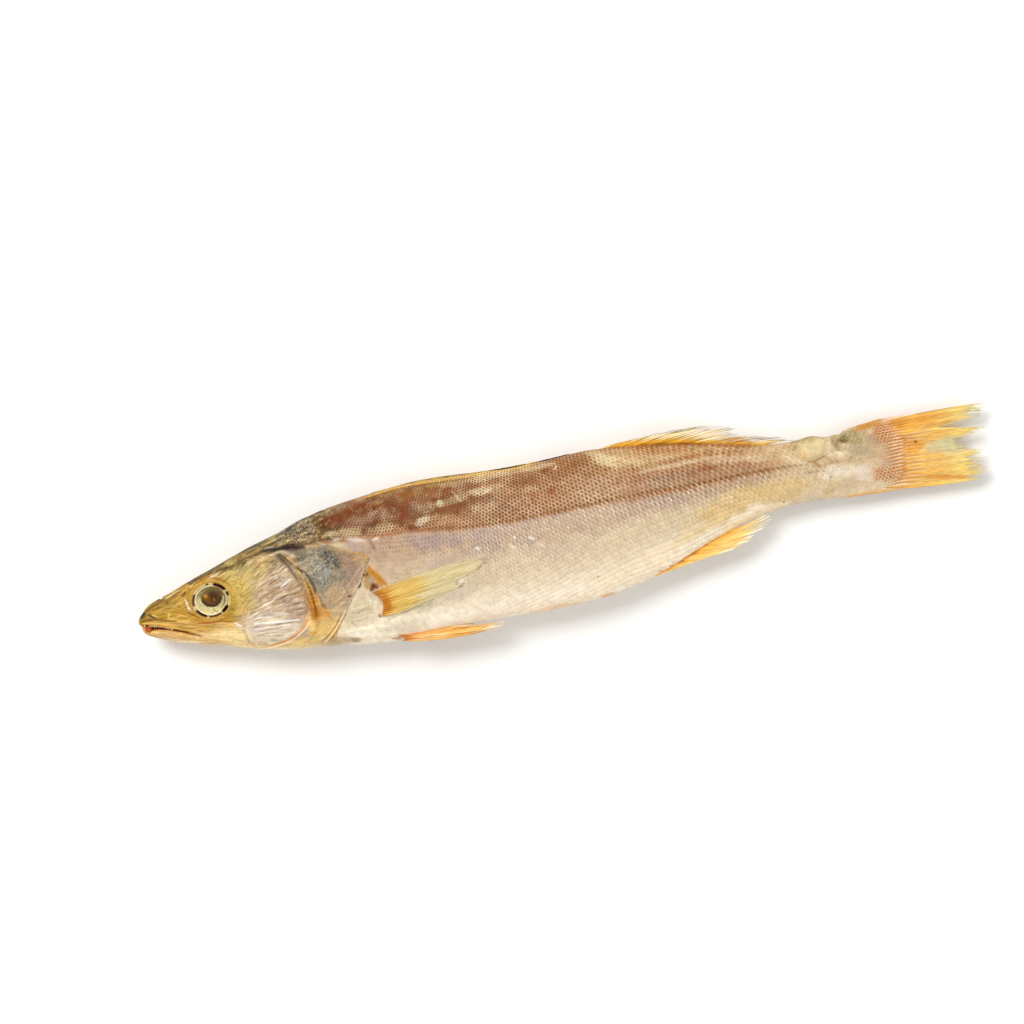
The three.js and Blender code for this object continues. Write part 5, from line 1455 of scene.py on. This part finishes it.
# a thin closed sheet: rays run from root curve to tip curve, bowed sideways; a ray's section is a
# raised cosine that splits in two and four towards the tip; torn cells between rays are left out
def makeFin(name, spec, levelOf):
    pick = np.random.default_rng(spec["seed"])
    rays, perRay, rows = spec["rays"], spec["perRay"], spec["rows"]
    columns = rays * perRay + 1
    q = np.linspace(0, 1, columns)
    root, tip = planeCurve(spec["root"])(q), planeCurve(spec["tips"])(q)
    run = tip - root
    span = np.linalg.norm(run, axis=-1)
    phase = q * rays
    whole, quarter = np.floor(phase).astype(int), np.floor(phase * 4).astype(int)
    ragged = pick.uniform(-1, 1, 4 * rays + 1)[quarter] * 0.5 + pick.uniform(-1, 1, rays + 1)[whole]
    between = 0.5 + 0.5 * np.cos(2 * math.pi * phase)
    reach = 1 + (spec["fray"] * ragged - spec["web"] * between) / np.maximum(span, 1)
    share = np.linspace(0, 1, rows)[None, :] * np.ones((columns, 1))
    way = share * reach[:, None]
    sideways = np.stack([-run[:, 1], run[:, 0]], -1) / (span[:, None] + 1e-9)
    bow = spec["bow"][0] + (spec["bow"][1] - spec["bow"][0]) * q
    plane = root[:, None] + run[:, None] * way[..., None]
    plane = plane + sideways[:, None] * (4 * way * (1 - way) * bow[:, None])[..., None]

    def ridge(count):
        return (0.5 - 0.5 * np.cos(2 * math.pi * q * rays * count))[:, None] ** 1.4

    split = spec["split"]
    two, four = rise(share, split[0], split[1]), rise(share, split[2], split[3])
    rayness = (ridge(1) * (1 - two) + ridge(2) * two) * (1 - four) + ridge(4) * four
    thick = spec["rootHalf"] + (spec["tipHalf"] - spec["rootHalf"]) * share ** 0.7
    half = thick * (0.6 + 0.4 * rayness)
    lean = np.pad(pick.uniform(-1, 1, rays + 1)[whole], perRay // 2, mode="edge")
    lean = np.convolve(lean, np.ones(perRay) / perRay, "valid")[:columns]
    middle = levelOf(plane[..., 0], plane[..., 1], share) + spec["wave"] * share ** 1.5 * lean[:, None]
    middle = middle + 0.35 * spec["wave"] * share * np.sin(plane[..., 0] / 4.5 + 3 * q[:, None])
    front = np.concatenate([plane, np.maximum(middle + half, 0.1)[..., None]], -1)
    rear = np.concatenate([plane, np.maximum(middle - half, fish["clearance"])[..., None]], -1)
    # splits: chosen gaps between rays open from the tip inwards, and fine ones between branches
    isTorn = pick.uniform(0, 1, rays + 1) < spec["tornShare"]
    depth = np.where(isTorn, pick.uniform(0.06, spec["tornDepth"], rays + 1), 0)
    for gapAt, gapDepth in spec.get("gaps", ()):
        depth[int(round(gapAt * rays))] = gapDepth
    depth[[0, -1]] = 0
    centre = (phase[:-1] + phase[1:]) / 2
    gap = np.round(centre).astype(int)
    cellShare = (share[:-1, 1:] + share[:-1, :-1]) / 2
    inward = cellShare - 1 + depth[gap][:, None]
    torn = (np.abs(centre - gap)[:, None] < 0.1 + 0.5 * inward) & (inward > 0)
    fine = pick.uniform(0, 1, 4 * rays + 1)[np.round(centre * 4).astype(int)] * spec["comb"]
    torn |= (np.abs(centre * 4 - np.round(centre * 4))[:, None] < 0.3) & (cellShare > 1 - fine[:, None])
    keep = ~torn
    cells = gridFaces(columns, rows).reshape(columns - 1, rows - 1, 4)
    total = columns * rows
    faces = [cells[keep], cells[keep][:, ::-1] + total]
    padded = np.pad(keep, 1).astype(int)
    index = np.arange(total).reshape(columns, rows)
    for axis in (0, 1):
        change = np.diff(padded, axis=axis)
        change = change[:, 1:-1] if axis == 0 else change[1:-1]
        first, second = (index[:, :-1], index[:, 1:]) if axis == 0 else (index[:-1], index[1:])
        for sign in (1, -1):
            a, b = first[change == sign], second[change == sign]
            if (sign > 0) != (axis == 0):
                a, b = b, a
            faces.append(np.stack([a, b, b + total, a + total], -1))
    tone = pick.uniform(-1, 1, rays + 1)[whole][:, None]
    streak = clouds(phase[:, None] * 3.1 + 0 * share, share * 5, 1.0, spec["seed"] + 5)
    away = share + 0.05 * tone + 0.05 * streak
    rayTint, webTint = gradient(spec["rayColours"], away), gradient(spec["webColours"], away)
    wide = rayness * 1.1 + 0.25 * streak + 0.42 * (1 - rise(share, 0.25, 0.45))
    tint = webTint + (rayTint - webTint) * np.clip(wide, 0, 1)[..., None]
    tint = paintPatches(tint, plane[..., 0], plane[..., 1], spec["patches"], 0.3, itertools.repeat(17))
    tint = tint * (1 + 0.08 * tone + 0.07 * streak)[..., None]
    places = np.stack([phase[:, None] * 2.5 + 0 * share, share * np.median(span) * 0.25, 0 * share], -1)
    points = np.concatenate([front.reshape(-1, 3), rear.reshape(-1, 3)])
    used = np.unique(np.concatenate([block.ravel() for block in faces]))
    renumber = np.zeros(len(points), int)
    renumber[used] = np.arange(len(used))
    values = {"tint": np.concatenate([tint.reshape(-1, 3)] * 2)[used],
              "finPlace": np.concatenate([places.reshape(-1, 3)] * 2)[used]}
    faces = [renumber[block] for block in faces if len(block)]
    return addPiece(name, points[used], faces, finSkin, values)


# fins of the middle plane stand in it
def middleLevel(along, height, share):
    return middlePlane(along) + 0 * height


tailFin = {
    "root": [(297, 9.2), (303, 7.6), (306, 4.4), (307, 0.6), (307, -3.6), (306, -8), (303, -12),
             (296, -15.8)],
    "tips": [(350.8, 7.9), (350.4, 6.2), (349, 4.5), (347, 2.9), (334.4, 1.8), (347.4, -1.4), (344, -3.2),
             (337.4, -4.6), (339.6, -6.6), (340.8, -8.4), (345.6, -10.4), (343.4, -12.6), (344.8, -15),
             (345.4, -17.2), (344.6, -19.4), (341.2, -21.7)],
    "rays": fish["tailRays"], "perRay": 12, "rows": 84, "rootHalf": 1.25, "tipHalf": 0.22,
    "bow": (1.1, -0.9), "fray": 0.8,
    "web": 0.9, "wave": 0.45, "tornShare": 0.5, "tornDepth": 0.2, "comb": 0.14, "seed": 401,
    "split": (0.3, 0.5, 0.7, 0.9),
    "rayColours": ["#cf8a40", ("#e9b466", 0.1, 0.2), ("#efba54", 0.26, 0.42), ("#efc860", 0.55, 0.75),
                   ("#d9c578", 0.84, 0.99)],
    "webColours": ["#eed6b4", ("#f6dcb0", 0.1, 0.2), ("#f6d896", 0.3, 0.42), ("#f8e8ac", 0.55, 0.8),
                   ("#f0e8bc", 0.86, 0.99)],
    "patches": [(330.6, -5.6, 10, 3, -3, "#d8cfae", 0.7), (334, -7, 6, 4, 0, "#dbd2a8", 0.6),
                (319.7, -1.2, 0.75, 0.75, 0, "#4a3418", 0.9), (312, 8, 8, 2.4, 0, "#e0a646", 0.5),
                (322, 6.4, 13, 2.2, 2, "#f0b03a", 0.45),
                (331, 3.6, 9, 1, 2, "#d88c24", 0.5), (328, -17.6, 11, 1, -14, "#e0952e", 0.6),
                (318, 10.4, 18, 0.6, -3, "#7d6a3c", 0.7), (336, 9.5, 14, 0.6, -2, "#a39a6a", 0.7),
                (345.5, 6.4, 5, 3, -4, "#dcd09a", 0.7), (347, 4.4, 2, 1.4, 0, "#9c9058", 0.6),
                (310, -9, 4, 8, 0, "#cf9654", 0.3), (319, -2.6, 4, 3, 0, "#dd9a3c", 0.5),
                (337.6, -4.6, 2.4, 0.8, -20, "#b9b192", 0.7)],
}
secondBackFin = {
    "root": [(194, 23.6), (199, 23), (204, 22.3), (209, 21.4), (214, 20.4), (219, 19.6), (223, 19),
             (227, 18.2),
             (233, 16.7), (239, 15.1), (244, 13.8), (250, 12.2), (258, 10.6)],
    "tips": [(201, 25), (215, 25.3), (228, 25), (236.6, 24.3), (243, 23), (247.4, 21.6), (250, 19.6),
             (249, 18.4), (257, 15.6), (264, 13.5), (269.7, 12.2), (270.4, 10.6), (275.6, 9.5)],
    "rays": 22, "perRay": 10, "rows": 56, "rootHalf": 0.75, "tipHalf": 0.2, "bow": (0.4, 0.9), "fray": 0.9,
    "web": 1.2, "wave": 0.6, "tornShare": 0.8, "tornDepth": 0.5, "comb": 0.22, "seed": 431,
    "gaps": ((0.32, 0.4), (0.41, 0.5), (0.5, 0.6), (0.545, 0.5), (0.64, 0.6), (0.73, 0.6), (0.77, 0.5),
             (0.82, 0.65),
             (0.86, 0.6)), "split": (0.5, 0.7, 0.8, 0.95),
    "rayColours": ["#d09830", ("#efbb42", 0.06, 0.2), ("#fbf0cc", 0.28, 0.46), ("#b9ae84", 0.8, 0.95),
                   ("#8d8666", 0.95, 1)],
    "webColours": ["#9c6a1c", ("#c0923c", 0.08, 0.22), ("#e2c688", 0.36, 0.56), ("#b9ad80", 0.78, 0.95)],
    "patches": [(210, 25, 9, 0.5, 0, "#a89440", 0.5), (228, 24.6, 9, 0.9, -3, "#98927a", 0.75),
                (240, 22.8, 6, 1.2, -14, "#aaa284", 0.6), (234, 17, 10, 0.9, -17, "#a5640f", 0.7),
                (262, 13.7, 8, 1.1, -14, "#5c5030", 0.85), (271, 9.9, 5, 0.8, -6, "#5a5232", 0.85),
                (249.6, 15.8, 7, 1.2, -17, "#bd8218", 0.65), (206, 24.4, 8, 1, 2, "#efb838", 0.7),
                (222, 20.2, 12, 0.7, -12, "#a8701c", 0.6),
                (252, 12.6, 7, 0.7, -16, "#a06414", 0.7)],
}
firstBackFin = {
    "root": [(98, 25.6), (118, 26.2), (140, 24.7), (160, 23.2), (174, 23.2)],
    "tips": [(103, 27.9), (124, 28.4), (148, 26.2), (168, 25.2), (183.6, 25.3)],
    "rays": 14, "perRay": 8, "rows": 14, "rootHalf": 0.85, "tipHalf": 0.4, "bow": (0.2, 0.2), "fray": 0.15,
    "web": 0.2, "wave": 0.15, "tornShare": 0, "tornDepth": 0.1, "comb": 0, "seed": 461,
    "split": (0.8, 1, 1.1, 1.2),
    "rayColours": ["#94793a", ("#dcc05c", 0.4, 0.7)], "webColours": ["#6c5626", ("#a48a3e", 0.4, 0.8)],
    "patches": [(177, 25.2, 9, 1, -1, "#12120e", 1), (158, 25.4, 7, 0.6, -3, "#1d1a10", 0.9),
                (137, 27.5, 8, 0.5, -5, "#3b331c", 0.8), (118, 28.4, 8, 0.5, 0, "#4b401e", 0.6)],
}
analFin = {
    "root": [(203, -30), (208, -28.9), (213, -27.5), (217, -25.9), (221, -24.5), (225, -23.1), (229, -21.8),
             (232, -20.7), (235, -20), (239, -19)],
    "tips": [(209, -29.9), (219.6, -28.5), (230, -27.5), (238.4, -26.9), (243.6, -25.8), (247.6, -24),
             (252.4, -21), (255.8, -19), (255.2, -17.2), (255.4, -15.4)],
    "rays": 13, "perRay": 12, "rows": 56, "rootHalf": 0.7, "tipHalf": 0.2, "bow": (-0.3, -0.7), "fray": 0.6,
    "web": 0.9, "wave": 0.5, "tornShare": 0.5, "tornDepth": 0.25, "comb": 0.12, "seed": 491,
    "gaps": ((0.93, 0.5), (0.85, 0.55), (0.77, 0.5), (0.7, 0.3), (0.62, 0.3)), "split": (0.4, 0.6, 0.8, 0.95),
    "rayColours": ["#ee9c38", ("#fbc864", 0.03, 0.12), ("#fbd47a", 0.22, 0.45), ("#fff6d6", 0.66, 0.9)],
    "webColours": ["#e8a04c", ("#ffd084", 0.03, 0.14), ("#ffe6a4", 0.28, 0.55), ("#fff8e4", 0.75, 1)],
    "patches": [(221.6, -26.3, 2, 0.5, 8, "#f7dcb8", 0.7), (240, -23.2, 5, 0.6, 2, "#e2861c", 0.35)],
}
breastFin = {
    "root": [(94.8, -10.9), (97, -13.6), (97.5, -17), (95.9, -21.1)],
    "tips": [(130, -6.7), (139.6, -7.4), (140.2, -9.4), (136, -11.8), (129, -13.9), (129.6, -16.4),
             (114, -19)],
    "rays": 16, "perRay": 10, "rows": 60, "rootHalf": 0.5, "tipHalf": 0.14, "bow": (0.5, -0.9), "fray": 0.9,
    "web": 0.8, "wave": 0.12, "tornShare": 0.25, "tornDepth": 0.25, "comb": 0.06, "seed": 521,
    "split": (0.45, 0.75, 1.1, 1.2),
    "rayColours": ["#cb8e3c", ("#e2ac48", 0.02, 0.06), ("#ebca7c", 0.07, 0.17), ("#e8dcb2", 0.33, 0.55),
                   ("#e9d8b0", 0.75, 1)],
    "webColours": ["#b87a2c", ("#d4a03e", 0.03, 0.08), ("#dcb864", 0.09, 0.19), ("#d8c896", 0.35, 0.6),
                   ("#decdac", 0.75, 1)],
    "patches": [(99.2, -16.2, 1.5, 3.8, 4, "#cc8420", 0.85)],
}
bellyFin = {
    "root": [(99.4, -29.6), (101.6, -30.6), (102.4, -31.8), (101.4, -32.6)],
    "tips": [(126, -31.4), (134, -33), (142.8, -34), (141.6, -35.6), (139.8, -36.5), (127, -36.2)],
    "rays": 6, "perRay": 18, "rows": 60, "rootHalf": 0.8, "tipHalf": 0.25, "bow": (-0.4, -0.8), "fray": 1.2,
    "web": 2, "wave": 0.6, "tornShare": 0.6, "tornDepth": 0.35, "comb": 0.1, "seed": 551,
    "gaps": ((0.34, 0.62), (0.67, 0.5)), "split": (0.3, 0.5, 0.8, 0.95),
    "rayColours": ["#d08c48", ("#f0bc6c", 0.04, 0.14), ("#efb552", 0.24, 0.6), ("#fdecc4", 0.8, 1)],
    "webColours": ["#d79858", ("#fdeac4", 0.04, 0.16), ("#f8d690", 0.3, 0.6), ("#fdf2dc", 0.8, 1)],
    "patches": [(111, -31, 13, 0.45, -3, "#d89a58", 0.6)],
}


# a fin of one side, torn in its own way
def makeSideFin(name, spec, levelOf, side):
    sideName = "left" if side == leftSide else "right"
    own = {**spec, "seed": spec["seed"] + int(side)}
    makeFin(name + "_" + sideName, own, lambda a, h, share: levelOf(a, h, share, side))


# breast fins lie along the flank: lifted past their root, and close to it again towards the tips
def breastLevel(along, height, share, side):
    lifted = 0.3 + 0.2 * rise(share, 0.04, 0.3) - 0.35 * rise(share, 0.4, 1)
    return flankLevel(along, height, side) + side * lifted


# belly fins run back side by side under the belly, drawing together towards their tips
def bellyLevel(along, height, share, side):
    return middlePlane(along) + side * (3.6 - 1.6 * share)


makeFin("tail_fin", tailFin, middleLevel)
makeFin("second_back_fin", secondBackFin, middleLevel)
makeFin("first_back_fin", firstBackFin, middleLevel)
makeFin("anal_fin", analFin, middleLevel)
for side in (leftSide, rightSide):
    makeSideFin("breast_fin", breastFin, breastLevel, side)
    makeSideFin("belly_fin", bellyFin, bellyLevel, side)
print("fins made")

studio = {
    "lens": 100.0, "sensor": 36.0,            # mm
    "widthSeen": 409.6,                       # mm of the fish's middle plane across the picture
    "turn": -13.0,                            # degrees, as the fish lies in the picture
    "middle": (-20.1, 11.6, 13.0),            # mm, the picture's middle in the frame
    "floorSize": 6.0,                         # m
    "floorCells": 24, "floor": ("#fbfaf8", "#f6f5f2"),
    "floorGrain": 40,                         # mm
    # lamps: place in m, size in m, watts, colour
    "key": ((-0.6, 0.85, 1.25), 0.9, 21, (1.0, 0.99, 0.97)),
    "fill": ((0.9, -0.7, 1.2), 1.2, 6, (0.97, 0.985, 1.0)),
    "world": 0.55,
}

paperFinish = {"roughness": 0.85, "specular": 0.5, "ior": 1.5, "bump": 0.05, "bumpDepth": 0.1}


# a flat sheet of white paper, large enough to reach out of the picture
def makeFloor():
    count = studio["floorCells"]
    run = np.linspace(-0.5, 0.5, count) * studio["floorSize"]
    places = np.stack([*np.meshgrid(run, run, indexing="ij"), np.zeros((count, count))], -1).reshape(-1, 3)
    mesh = bpy.data.meshes.new("floor")
    mesh.from_pydata(places.tolist(), [], gridFaces(count, count).tolist())
    material = bpy.data.materials.new("matt white paper floor")
    material.use_nodes = True
    tree = material.node_tree
    tree.nodes.clear()
    place = addNode(tree, "TexCoord", out="Object")
    scale = 1 / (studio["floorGrain"] * mm)
    fibre = addNode(tree, "TexNoise", {"Vector": place, "Scale": scale, "Detail": 3.0})
    shades = [(*linearColour(shade), 1.0) for shade in studio["floor"]]
    colour = addNode(tree, "Mix", {0: fibre, 6: shades[0], 7: shades[1]}, out=2, data_type="RGBA")
    finishMaterial(material, tree, colour, paperFinish["roughness"], fibre, paperFinish)
    mesh.materials.append(material)
    floor = bpy.data.objects.new("floor", mesh)
    bpy.context.scene.collection.objects.link(floor)


# a round lamp that faces the middle of the frame
def makeLamp(name):
    place, size, power, colour = studio[name]
    lamp = bpy.data.lights.new(name, "AREA")
    lamp.shape, lamp.size, lamp.energy, lamp.color = "DISK", size, power, colour
    holder = bpy.data.objects.new(name, lamp)
    holder.location = place
    holder.rotation_euler = (0, math.acos(place[2] / np.linalg.norm(place)), math.atan2(place[1], place[0]))
    bpy.context.scene.collection.objects.link(holder)


# a camera straight above the middle of the picture, as far away as its lens needs for the width
def makeCamera():
    camera = bpy.data.cameras.new("camera")
    camera.lens, camera.sensor_width = studio["lens"], studio["sensor"]
    holder = bpy.data.objects.new("camera", camera)
    middle = np.array(studio["middle"]) * mm
    away = studio["widthSeen"] * mm * studio["lens"] / studio["sensor"]
    holder.location = (middle[0], middle[1], middle[2] + away)
    holder.rotation_euler = (0, 0, math.radians(studio["turn"]))
    bpy.context.scene.collection.objects.link(holder)
    bpy.context.scene.camera = holder


makeFloor()
makeCamera()
makeLamp("key")
makeLamp("fill")
world = bpy.data.worlds.new("soft white studio")
world.use_nodes = True
background = world.node_tree.nodes["Background"]
background.inputs[0].default_value = (1.0, 1.0, 1.0, 1.0)
background.inputs[1].default_value = studio["world"]
bpy.context.scene.world = world
bpy.context.scene.view_settings.view_transform = "Standard"

print("scene ready")
